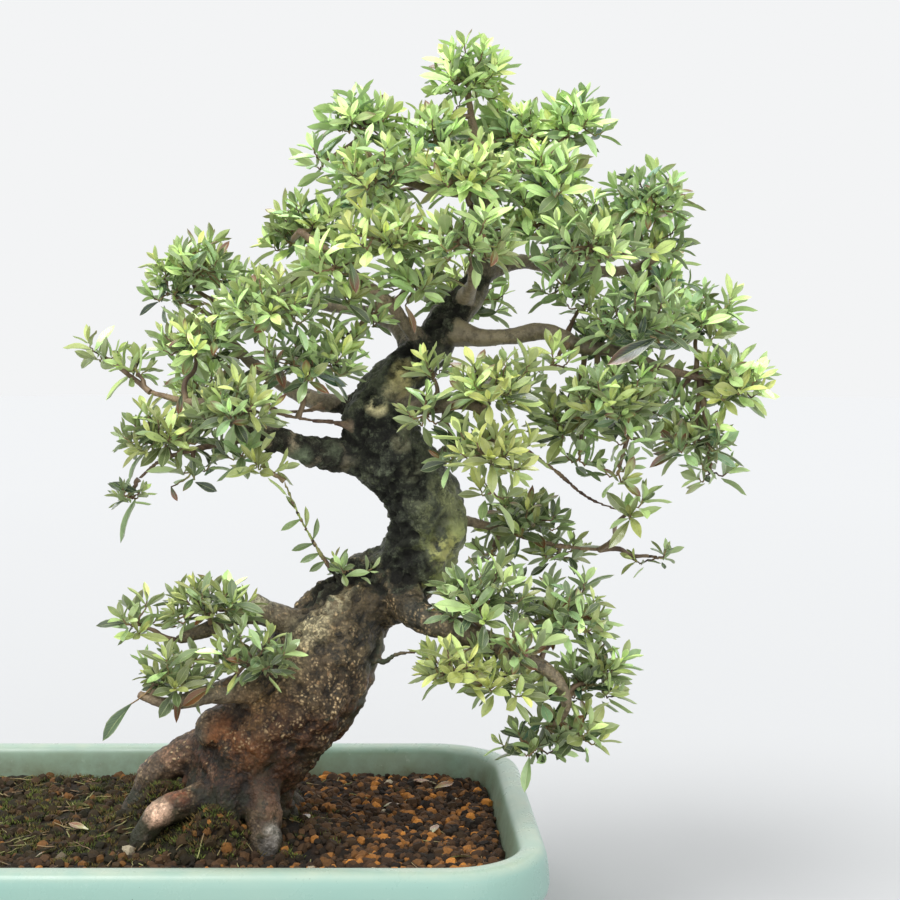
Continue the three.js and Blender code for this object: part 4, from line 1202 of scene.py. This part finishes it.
def addWhorl(parts, leaves, tip, axis, fresh, size, lit, draw):
    # leaves set round a shoot by the golden angle, the young ones upright at its end
    form = leafForm
    count = draw.randint(*form["leavesOfWhorl"])
    turn = draw.uniform(0, wholeTurn)
    frameOfAxis = axis.to_track_quat("Z", "Y")
    flush = draw.uniform(-0.26, 0.24)
    sunlit = lit + draw.uniform(-0.2, 0.2)
    reddened = draw.random() < form["reddenedWhorls"]
    for order in range(count):
        age = 1 - order / (count - 1)  # 1 for the oldest and lowest
        lean = math.radians(14 + 66 * age ** 0.8 + draw.uniform(-12, 12))
        grownShare = 0.58 + 0.5 * min(1, 1.5 * age + 0.1)
        length = form["length"] * size * grownShare * draw.uniform(0.8, 1.14)
        angle = turn + order * goldenAngle + draw.uniform(-0.2, 0.2)
        aim = frameOfAxis @ Vector((math.sin(lean) * math.cos(angle),
                                    math.sin(lean) * math.sin(angle), math.cos(lean)))
        aim = (aim + up * draw.uniform(-0.05, 0.16)).normalized()
        top = (axis - aim * axis.dot(aim)).normalized()
        side = top.cross(aim)
        roll = draw.uniform(-0.45, 0.45)
        cosine, sine = math.cos(roll), math.sin(roll)
        top, side = top * cosine + side * sine, side * cosine - top * sine
        turned = Matrix((aim, side, top)).transposed().to_4x4()
        foot = tip - axis * (age * age * 9 * mm) + aim * 0.5 * mm
        scale = Matrix.Diagonal((length, length * draw.uniform(0.85, 1.1), length, 1))
        youth = fresh - 0.08 + flush + 0.34 * (1 - age) + draw.uniform(-0.2, 0.2)
        red = 0.0
        if reddened and draw.random() < 0.6:
            red = draw.uniform(0.5, 0.8)
        elif draw.random() < form["reddenedLeaves"]:
            red = draw.uniform(0.4, 0.95)
        # random tone plus the whorl's painted light and shade
        bright = min(1, max(0, draw.random() + sunlit))
        tint = (min(1, max(0, youth)), red, bright, 1)
        master = leaves[draw.randrange(len(leaves))]
        parts.append(copyOf(master, Matrix.Translation(foot) @ turned @ scale, tint))


def growSpray(name, number, spray, twig, leaves, twigMasters):
    middle, halfSizes, fresh = spray
    draw = random.Random(f"spray {name} {number}")
    foot, start, fork = [treePoint(*point) for point in twig]
    half = Vector(halfSizes) * mm
    small = 0.7 if halfSizes[2] < 8 else 1.0
    fewest, most = leafForm["whorlsOfSpray"]
    count = round(halfSizes[0] * halfSizes[1] * halfSizes[2] / leafForm["whorlSpace"])
    count = max(fewest, min(most, count))
    parts = []

    def lay(first, last, width):
        master = twigMasters[draw.randrange(len(twigMasters))]
        place = along(first, last, width * mm, draw.uniform(0, wholeTurn))
        parts.append(copyOf(master, place, (0, 0, 0, 1)))

    lay(start - (fork - start) * 0.12, fork, 1.15)
    tips = []
    turn = draw.uniform(0, wholeTurn)
    for index in range(count):
        way = spreadWay(index, count, turn)
        reach = draw.uniform(0.6, 0.98) if index % 4 else draw.uniform(0.25, 0.5)
        if way.z > 0.4 and index % 3 == 0:
            reach = draw.uniform(0.85, 1.12)
        branch = Vector((way.x * half.x, way.y * half.y, way.z * half.z)) * reach
        tips.append((fork + branch, way))
    groups = max(1, round(count / 4))
    for group in range(groups):
        chosen = sorted(tips, key=lambda item: math.atan2(item[1].y, item[1].x))
        chosen = chosen[group * count // groups:(group + 1) * count // groups]
        centre = sum((tip for tip, way in chosen), Vector()) / len(chosen)
        knee = fork + (centre - fork) * 0.5 - up * 1.5 * mm
        lay(fork - (knee - fork) * 0.08, knee, 0.9)
        for tip, way in chosen:
            # painted shade on whorls deep in the spray and on its underside, painted light on those
            # near the top and on the right
            inner = (tip - fork).length / half.length
            lit = 0.3 * min(1, inner * 1.5) - 0.28 + 0.16 * way.z
            lit += min(0.5, max(-0.08, 2.9 * (tip.z - 0.33))) + 0.6 * max(0, tip.x - 0.05)
            axis = (way * 0.7 + up * 0.85 + (tip - fork).normalized() * 0.4).normalized()
            base = tip - axis * 5 * mm
            lay(knee - (base - knee) * 0.05, base, 0.7)
            lay(base - axis * 0.4 * mm, tip + axis * 1.2 * mm, 0.55)
            addWhorl(parts, leaves, tip, axis, fresh, small * draw.uniform(0.8, 1.12), lit, draw)
    return parts


def hangLeaf(loose, forks, leaves, twigMasters):
    # one leaf on its own twig, from the nearest fork
    foot, tip, width, tint = loose
    foot, tip = treePoint(*foot), treePoint(*tip)
    fork = min(forks, key=lambda place: (place - foot).length)
    aim = tip - foot
    length = aim.length
    aim.normalize()
    outward = (Vector((foot.x - treeFoot.x, foot.y * 3, 0)).normalized() + up * 0.4).normalized()
    top = (outward - aim * outward.dot(aim)).normalized()
    turned = Matrix((aim, top.cross(aim), top)).transposed().to_4x4()
    broad = width * mm * leafForm["length"] / leafForm["width"]
    scale = Matrix.Diagonal((length, broad, length, 1))
    knee = (fork + foot) / 2 - up * 1.5 * mm
    twig = twigMasters[0]
    return [copyOf(twig, along(fork, knee + (knee - fork) * 0.05, 0.8 * mm), (0, 0, 0, 1)),
            copyOf(twig, along(knee, foot + aim * 0.5 * mm, 0.6 * mm), (0, 0, 0, 1)),
            copyOf(leaves[1], Matrix.Translation(foot) @ turned @ scale, (*tint, 1))]


def makeSprays(twigs):
    leafLook, shootLook = leafMaterial(), shootMaterial()
    leaves = [makeLeafMaster(index, leafLook) for index in range(len(leafForm["kinds"]))]
    twigMasters = [makeTwigMaster(index, shootLook) for index in range(3)]
    faces = 0
    shapes = allSprays()
    for name in sprays:
        parts = []
        for key in (key for key in shapes if key[0] == name):
            parts += growSpray(*key, shapes[key], twigs[key], leaves, twigMasters)
        forks = [treePoint(*twigs[key][2]) for key in shapes if key[0] == name]
        forks += [treePoint(*point) for point, radius in pathPoints(limbPaths["midShoot"])]
        for loose in looseLeaves.get(name, []):
            parts += hangLeaf(loose, forks, leaves, twigMasters)
        piece = joinPieces("leaves_" + name, parts)
        setPiece(piece, "leaf", "spray_" + name)
        faces += sum(len(f.vertices) - 2 for f in piece.data.polygons)
    print("sprays made:", faces, "triangles")
    return leaves, twigMasters


# the soil, its granules, moss, fine roots and fallen leaves

soilForm = {
    "inset": 22.3,                     # from the pot's widest line to the soil, at its top
    "deepInset": 33.4,                 # and at its bottom
    "bottom": 18.4 * mm,
    "voxel": 3.6 * mm,
    "granuleField": ((-230, 170), (-120, 120)),
    "granulePitch": 4.6,
    "granuleSize": (1.4, 3.2),
    "smallGranules": (0.3, 0.72),      # their share, and their size among the others
    "grownOver": 0.3,                  # share of granules left bare of moss on the mossy side
    "mossField": ((-222, 110), (-118, 118)),
    "mossTufts": 620,
    "heapTufts": 150,                  # extra tufts on the heaps between the roots
    "heapCrumbs": 420,
    "fibreField": ((-222, 160), (-118, 118)),
    "fibres": 300,
    "leafField": ((-215, 150), (-112, 112)),
    "fallenLeaves": 16,
    # how far in from the pot's widest line the granules, the moss and fibres, and the leaves end
    "granuleEdge": 22.8,
    "mossEdge": 25,
    "leafEdge": 38,
    "soil": ("#110e0a", "#33251a"),
    "soilMoss": "#2c3118",
    "granule": ("#1c150f", "#5a4029", "#d98f3e"),
    "granuleMoss": "#24260f",
    "paleStone": "#b3a68c",
    "moss": ("#22250f", "#6a7632"),
    "dryMoss": "#6b4f2c",
}

# heaps of mossy soil between the roots: middle, widths and height
soilHeaps = [(-6, -45, 14, 10, 25), (-38, -15, 13, 10, 27), (44, -24, 14, 16, 6),
             (-8, 40, 18, 20, 9), (-62, -10, 16, 14, 9), (26, -62, 34, 12, -4)]


def soilLevel(x, y):
    mound = 4 * math.exp(-((x + 10) ** 2 + y ** 2) / (2 * 75 ** 2))
    roll = 1.4 * math.sin(x / 31 + 1) * math.cos(y / 23) - 2.2
    heaps = sum(high * math.exp(-((x - middleX) ** 2 / wide ** 2
                                  + (y - middleY) ** 2 / deep ** 2) / 2)
                for middleX, middleY, wide, deep, high in soilHeaps)
    return mound + roll + heaps + 1.8 * noise.noise(Vector((x / 14, y / 14, 0)))


def insideWall(x, y, inset):
    # whether a place on the soil lies at least this far inside the pot's widest line
    halfX, halfY, radius = potHalfLength - inset, potHalfDepth - inset, potCorner - inset
    overX = max(0, abs(x + treeShift) - (halfX - radius))
    overY = max(0, abs(y) - (halfY - radius))
    return math.hypot(overX, overY) < radius


def mossiness(x, y):
    # 1 on the shaded left and round the roots, 0 on the dry right
    left = min(1, max(0, (26 - x + 0.25 * y) / 60)) * min(1, max(0.35, (y + 92) / 40))
    near = math.exp(-((x - 5) ** 2 + (y + 10) ** 2) / (2 * 45 ** 2))
    patches = 0.55 * noise.noise(Vector((x / 22, y / 22, 3)))
    return min(1, max(0, 0.85 * left + 0.8 * near + patches))


def soilMaterial():
    form = soilForm
    material, tree, shader = startMaterial("darkSoil", IOR=1.4)
    place = objectPlace(tree)
    body = mixColour(tree, spread(tree, grainOf(tree, place, 130, 6, 0.7), 0.35, 0.68),
                     colour(form["soil"][0]), colour(form["soil"][1]))
    across = addNode(tree, "SeparateXYZ", {0: place}).outputs["X"]
    shade = spread(tree, across, treeFoot.x + 0.05, treeFoot.x - 0.05)
    green = spread(tree, grainOf(tree, place, 48, 5, 0.7), 0.42, 0.62)
    body = mixColour(tree, sums(tree, "MULTIPLY", sums(tree, "MULTIPLY", green, shade), 0.7), body,
                     colour(form["soilMoss"]))
    feed(tree, shader.inputs["Base Color"], body)
    feed(tree, shader.inputs["Roughness"], spread(tree, green, 0, 1, 0.85, 0.98))
    coarse = grainOf(tree, place, 380, 6, 0.75)
    feed(tree, shader.inputs["Normal"], bumpOf(tree, coarse, 0.9, 1.5 * mm))
    return material


def granuleMaterial():
    dark, brown, orange = (colour(code) for code in soilForm["granule"])
    material, tree, shader = startMaterial("akadamaGranule", IOR=1.4)
    place = objectPlace(tree)
    tint = addNode(tree, "Attribute", {}, attribute_name="tint")
    parts = addNode(tree, "SeparateColor", {0: tint.outputs["Color"]}).outputs
    body = mixColour(tree, spread(tree, parts["Red"], 0, 0.5), dark, brown)
    body = mixColour(tree, spread(tree, parts["Red"], 0.5, 1), body, orange)
    body = mixColour(tree, parts["Green"], body, colour(soilForm["granuleMoss"]))
    pale = spread(tree, parts["Blue"], 0.993, 0.995)
    body = mixColour(tree, pale, body, colour(soilForm["paleStone"]))
    mottled = spread(tree, grainOf(tree, place, 620, 5, 0.75), 0.3, 0.7, 0.62, 1.25)
    body = mixColour(tree, 1.0, body, mottled, "MULTIPLY")
    feed(tree, shader.inputs["Base Color"], body)
    feed(tree, shader.inputs["Roughness"], spread(tree, mottled, 0.62, 1.25, 0.8, 0.97))
    gritty = grainOf(tree, place, 900, 4, 0.7)
    feed(tree, shader.inputs["Normal"], bumpOf(tree, gritty, 0.7, 0.7 * mm))
    return material


def mossMaterial():
    form = soilForm
    material, tree, shader = startMaterial("mossBlade", IOR=1.4)
    place = objectPlace(tree)
    tint = addNode(tree, "Attribute", {}, attribute_name="tint")
    parts = addNode(tree, "SeparateColor", {0: tint.outputs["Color"]}).outputs
    body = mixColour(tree, parts["Red"], colour(form["moss"][0]), colour(form["moss"][1]))
    body = mixColour(tree, parts["Green"], body, colour(form["dryMoss"]))
    shadeOf = spread(tree, grainOf(tree, place, 500, 3), 0.3, 0.7, 0.75, 1.2)
    feed(tree, shader.inputs["Base Color"], mixColour(tree, 1.0, body, shadeOf, "MULTIPLY"))
    feed(tree, shader.inputs["Roughness"], spread(tree, shadeOf, 0.75, 1.2, 0.7, 0.95))
    return material


def makeSoilBody():
    form = soilForm
    deselectAll()
    inset, deepInset = form["inset"], form["deepInset"]
    top, bottom = treeFoot.z, form["bottom"]
    size = ((2 * potHalfLength - 2 * inset) * mm, (2 * potHalfDepth - 2 * inset) * mm, top - bottom)
    middle = (potMiddle.x, 0, (top + bottom) / 2)
    bpy.ops.mesh.primitive_cube_add(size=1, location=middle, scale=size)
    soil = bpy.context.object
    bpy.ops.object.transform_apply(location=True, rotation=True, scale=True)
    roundUprights(soil, (potCorner - inset) * mm, 12)
    pickPoints(soil, lambda co: co.z < bottom + 1 * mm)
    narrow = ((potHalfLength - deepInset) / (potHalfLength - inset),
              (potHalfDepth - deepInset) / (potHalfDepth - inset), 1)
    bpy.ops.transform.resize(value=narrow, center_override=(potMiddle.x, 0, bottom))
    bpy.ops.object.mode_set(mode="OBJECT")
    applyModifier(soil, "REMESH", mode="VOXEL", voxel_size=form["voxel"])
    for vertex in soil.data.vertices:
        if vertex.co.z > top - 1.9 * mm:
            x, y = (vertex.co.x - treeFoot.x) / mm, vertex.co.y / mm
            crumb = 1.3 * noise.noise(Vector((x / 4, y / 4, 7)))
            vertex.co.z = top + (soilLevel(x, y) + crumb - 0.6) * mm
    soil.data.materials.clear()
    soil.data.materials.append(soilMaterial())
    activate(soil)
    bpy.ops.object.shade_smooth()
    soil.name = soil.data.name = "soilBody"
    setPiece(soil, "akadama", "soil")
    print("soil body made:", len(soil.data.polygons), "faces")


def makeGranuleMasters(material):
    masters = []
    for index in range(5):
        deselectAll()
        bpy.ops.mesh.primitive_cube_add(size=2, location=(0, 0, 0))
        bpy.ops.object.mode_set(mode="EDIT")
        bpy.ops.mesh.select_all(action="SELECT")
        bpy.ops.mesh.subdivide(number_cuts=1)
        bpy.ops.transform.tosphere(value=0.7)
        bpy.ops.transform.vertex_random(offset=0.22, seed=index + 1)
        bpy.ops.object.mode_set(mode="OBJECT")
        bpy.ops.object.shade_smooth_by_angle(angle=math.radians(34))
        granule = bpy.context.object
        granule.name = "granule"
        addTint(granule)
        granule.data.materials.append(material)
        masters.append(granule)
    return masters


def woodNear(x, y):
    # how far inside the roots a place on the soil is, in millimetres
    place = Vector((x, y, soilLevel(x, y)))
    return max(radius - (point - place).length for point, radius in groundWood)


groundWood = [item for path in (trunkPath[:6], *rootPaths.values()) for item in pathPoints(path, 8)]


def makeGranules():
    form = soilForm
    draw = random.Random("granules")
    masters = makeGranuleMasters(granuleMaterial())
    pitch = form["granulePitch"]
    sides = {"granulesLeft": [], "granulesRight": []}
    row = 0
    (left, right), (front, back) = form["granuleField"]
    smallShare, smallSize = form["smallGranules"]
    y = front
    while y < back:
        x = left + (row % 2) * pitch / 2
        while x < right:
            px, py = x + draw.uniform(-1.5, 1.5), y + draw.uniform(-1.5, 1.5)
            x += pitch
            radius = draw.uniform(*form["granuleSize"])
            radius *= smallSize if draw.random() < smallShare else 1
            moss = mossiness(px, py)
            hidden = draw.random() < moss * (1 - form["grownOver"])
            tone = min(1, max(0, draw.betavariate(1.0, 1.9) * (1 - 0.35 * moss)))
            lift = draw.uniform(-0.1, 0.5)
            green = moss * draw.uniform(0.2, 1.0) * 0.75
            pale = draw.random()
            turn = Quaternion([draw.gauss(0, 1) for _ in range(4)])
            flat = draw.uniform(0.7, 0.95)
            index = draw.randrange(len(masters))
            inside = insideWall(px, py, form["granuleEdge"] + radius)
            if hidden or not inside or woodNear(px, py) > 1:
                continue
            centre = treePoint(px, py, soilLevel(px, py) + lift)
            turned = turn.normalized().to_matrix().to_4x4()
            matrix = (Matrix.Translation(centre) @ turned
                      @ Matrix.Diagonal((radius * mm, radius * flat * mm, radius * 0.9 * mm, 1)))
            side = "granulesLeft" if px < -treeShift else "granulesRight"
            sides[side].append(copyOf(masters[index], matrix, (tone, green, pale, 1)))
        row += 1
        y += pitch * 0.87
    # small dark crumbs on the heaps between the roots
    crumbs = 0
    while crumbs < form["heapCrumbs"]:
        middleX, middleY, wide, deep, high = soilHeaps[crumbs % 2]
        px, py = draw.gauss(middleX, wide * 0.9), draw.gauss(middleY, deep * 0.9)
        radius = draw.uniform(0.7, 1.9)
        crumbs += 1
        if woodNear(px, py) > 1.5:
            continue
        turn = Quaternion([draw.gauss(0, 1) for _ in range(4)])
        tint = (draw.betavariate(1, 3), draw.uniform(0.1, 0.6), 0, 1)
        matrix = (Matrix.Translation(treePoint(px, py, soilLevel(px, py) + draw.uniform(-0.2, 0.6)))
                  @ turn.normalized().to_matrix().to_4x4() @ Matrix.Scale(radius * mm, 4))
        sides["granulesRight"].append(copyOf(masters[crumbs % len(masters)], matrix, tint))
    for name, parts in sides.items():
        print(name, len(parts), "granules")
        setPiece(joinPieces(name, parts), "akadama")
    for master in masters:
        removePiece(master)


def makeBladeMaster(material):
    # a thin three-sided moss blade, one long
    deselectAll()
    bpy.ops.mesh.primitive_cone_add(vertices=3, radius1=1, radius2=0.0, depth=1,
                                    location=(0, 0, 0.5))
    blade = bpy.context.object
    bpy.ops.object.transform_apply(location=True, rotation=True, scale=True)
    bpy.ops.object.shade_smooth()
    addTint(blade)
    blade.data.materials.append(material)
    blade.name = "blade"
    return blade


def makeMoss():
    form = soilForm
    draw = random.Random("moss")
    blade = makeBladeMaster(mossMaterial())
    parts = []
    made = 0
    while made < form["mossTufts"] + form["heapTufts"]:
        x, y = (draw.uniform(*ends) for ends in form["mossField"])
        if made < form["heapTufts"]:
            middleX, middleY, wide, deep, high = soilHeaps[made % 2]
            x, y = draw.gauss(middleX, wide), draw.gauss(middleY, deep)
        elif not insideWall(x, y, form["mossEdge"]) or draw.random() > mossiness(x, y) ** 1.5:
            continue
        if woodNear(x, y) > 0.5:
            continue
        made += 1
        centre = Vector((x, y, soilLevel(x, y) + 0.4))
        spreadOf = draw.uniform(2.5, 5)
        tone = draw.random()
        brown = max(0, draw.uniform(-0.6, 0.9))
        for _ in range(draw.randint(12, 20)):
            angle, away = draw.uniform(0, wholeTurn), draw.random() ** 0.6
            out = Vector((math.cos(angle), math.sin(angle), 0)) * away
            base = centre + out * spreadOf - up * 1.0 * away ** 2
            height = draw.uniform(1.8, 3.8)
            lean = Vector((draw.uniform(-0.4, 0.4), draw.uniform(-0.4, 0.4), 0))
            tip = base + (up + out * 0.8 + lean) * height
            tint = (min(1, max(0, tone + draw.uniform(-0.25, 0.25))), brown, 0, 1)
            parts.append(copyOf(blade, along(treePoint(*base), treePoint(*tip), 0.42 * mm), tint))
    piece = joinPieces("mossTufts", parts)
    setPiece(piece, "akadama")
    removePiece(blade)
    print("moss made:", len(parts), "blades")


def makeLitter(leaves, twigMasters):
    # thin roots and straws on the soil, and fallen leaves
    form = soilForm
    draw = random.Random("litter")
    parts = []
    while len(parts) < form["fibres"]:
        x, y = (draw.uniform(*ends) for ends in form["fibreField"])
        if draw.random() > 0.25 + 0.75 * mossiness(x, y) or woodNear(x, y) > 2:
            continue
        angle, length = draw.uniform(0, wholeTurn), draw.uniform(6, 20)
        endX, endY = x + length * math.cos(angle), y + length * math.sin(angle)
        if not all(insideWall(*spot, form["mossEdge"]) for spot in ((x, y), (endX, endY))):
            continue
        start = treePoint(x, y, soilLevel(x, y) + draw.uniform(0.6, 2.2))
        end = treePoint(endX, endY, soilLevel(endX, endY) + draw.uniform(0.4, 3.4))
        width = draw.uniform(0.22, 0.5)
        master = twigMasters[draw.randrange(len(twigMasters))]
        place = along(start, end, width * mm, draw.uniform(0, wholeTurn))
        parts.append(copyOf(master, place, (0, 0, 0, 1)))
    fallen = 0
    while fallen < form["fallenLeaves"]:
        x, y = (draw.uniform(*ends) for ends in form["leafField"])
        if not insideWall(x, y, form["leafEdge"]) or woodNear(x, y) > -8:
            continue
        fallen += 1
        size = leafForm["length"] * draw.uniform(0.75, 1.1)
        lie = (Matrix.Translation(treePoint(x, y, soilLevel(x, y) + 2.6))
               @ Matrix.Rotation(draw.uniform(0, wholeTurn), 4, "Z")
               @ Matrix.Rotation(draw.uniform(-0.25, 0.05), 4, "Y")
               @ Matrix.Rotation(draw.uniform(-0.5, 0.5), 4, "X")
               @ Matrix.Diagonal((size, size, size, 1)))
        tint = (draw.uniform(0.2, 0.6), draw.uniform(0.9, 1.0), draw.uniform(0.2, 0.9), 1)
        parts.append(copyOf(leaves[draw.randrange(len(leaves))], lie, tint))
    piece = joinPieces("soilLitter", parts)
    setPiece(piece, "akadama")
    print("litter made:", len(parts), "bits")


# the stage, the lights and the camera

stageForm = {
    "floorRadius": 9,
    "floorNear": "#c1c2c3",
    "floorFar": "#c4c5c6",             # the floor meets the sky without a line in this tone
    "sky": "#f3f4f5",
    "skyStrength": 1.0,
    "lights": [  # name, the way that it comes from, softness in degrees, strength
        ("keyLight", (-0.5, -0.5, 1.15), 34, 2.1),
        ("frontLight", (0.35, -1.0, 0.42), 60, 0.6),
        ("backLight", (0.35, 0.9, 1.1), 50, 0.35),
    ],
}

cameraForm = {
    "place": (0.04255, -0.9773, 0.3803),
    "pitch": -4.2,                     # degrees, negative looks down
    "lens": 63.2,
    "shiftX": 0.0889,
}


def makeStage():
    form = stageForm
    deselectAll()
    bpy.ops.mesh.primitive_circle_add(vertices=96, radius=form["floorRadius"], fill_type="NGON",
                                      location=(0, 0, 0))
    floor = bpy.context.object
    floor.name = "paleFloor"
    material, tree, shader = startMaterial("paleFloor", Roughness=1.0, Specular_IOR_Level=0.0)
    away = addNode(tree, "VectorMath", {0: objectPlace(tree)}, operation="LENGTH").outputs["Value"]
    tone = mixColour(tree, spread(tree, away, 0.5, 3.0), colour(form["floorNear"]),
                     colour(form["floorFar"]))
    feed(tree, shader.inputs["Base Color"], tone)
    floor.data.materials.append(material)
    world = bpy.context.scene.world or bpy.data.worlds.new("softSky")
    bpy.context.scene.world = world
    world.use_nodes = True
    bpy.context.scene.view_settings.view_transform = "Standard"
    background = world.node_tree.nodes["Background"]
    background.inputs["Color"].default_value = colour(form["sky"])
    background.inputs["Strength"].default_value = form["skyStrength"]
    for name, way, softness, strength in form["lights"]:
        light = bpy.data.lights.new(name, "SUN")
        light.angle = math.radians(softness)
        light.energy = strength
        lamp = bpy.data.objects.new(name, light)
        lamp.location = way
        lamp.rotation_mode = "QUATERNION"
        lamp.rotation_quaternion = Vector(way).to_track_quat("Z", "Y")
        bpy.context.collection.objects.link(lamp)
    print("stage and lights set")


def makeCamera():
    form = cameraForm
    data = bpy.data.cameras.new("camera")
    data.lens = form["lens"]
    data.sensor_width = 36
    data.shift_x = form["shiftX"]
    camera = bpy.data.objects.new("camera", data)
    camera.location = form["place"]
    camera.rotation_euler = (math.radians(90 + form["pitch"]), 0, 0)
    bpy.context.collection.objects.link(camera)
    bpy.context.scene.camera = camera
    print("camera set")


makeCamera()
makeStage()
makePot()
finishNets()
twigs = layTwigs()
makeTrunk(twigs)
leaves, twigMasters = makeSprays(twigs)
makeSoilBody()
makeGranules()
makeMoss()
makeLitter(leaves, twigMasters)
for master in (*leaves, *twigMasters):
    removePiece(master)
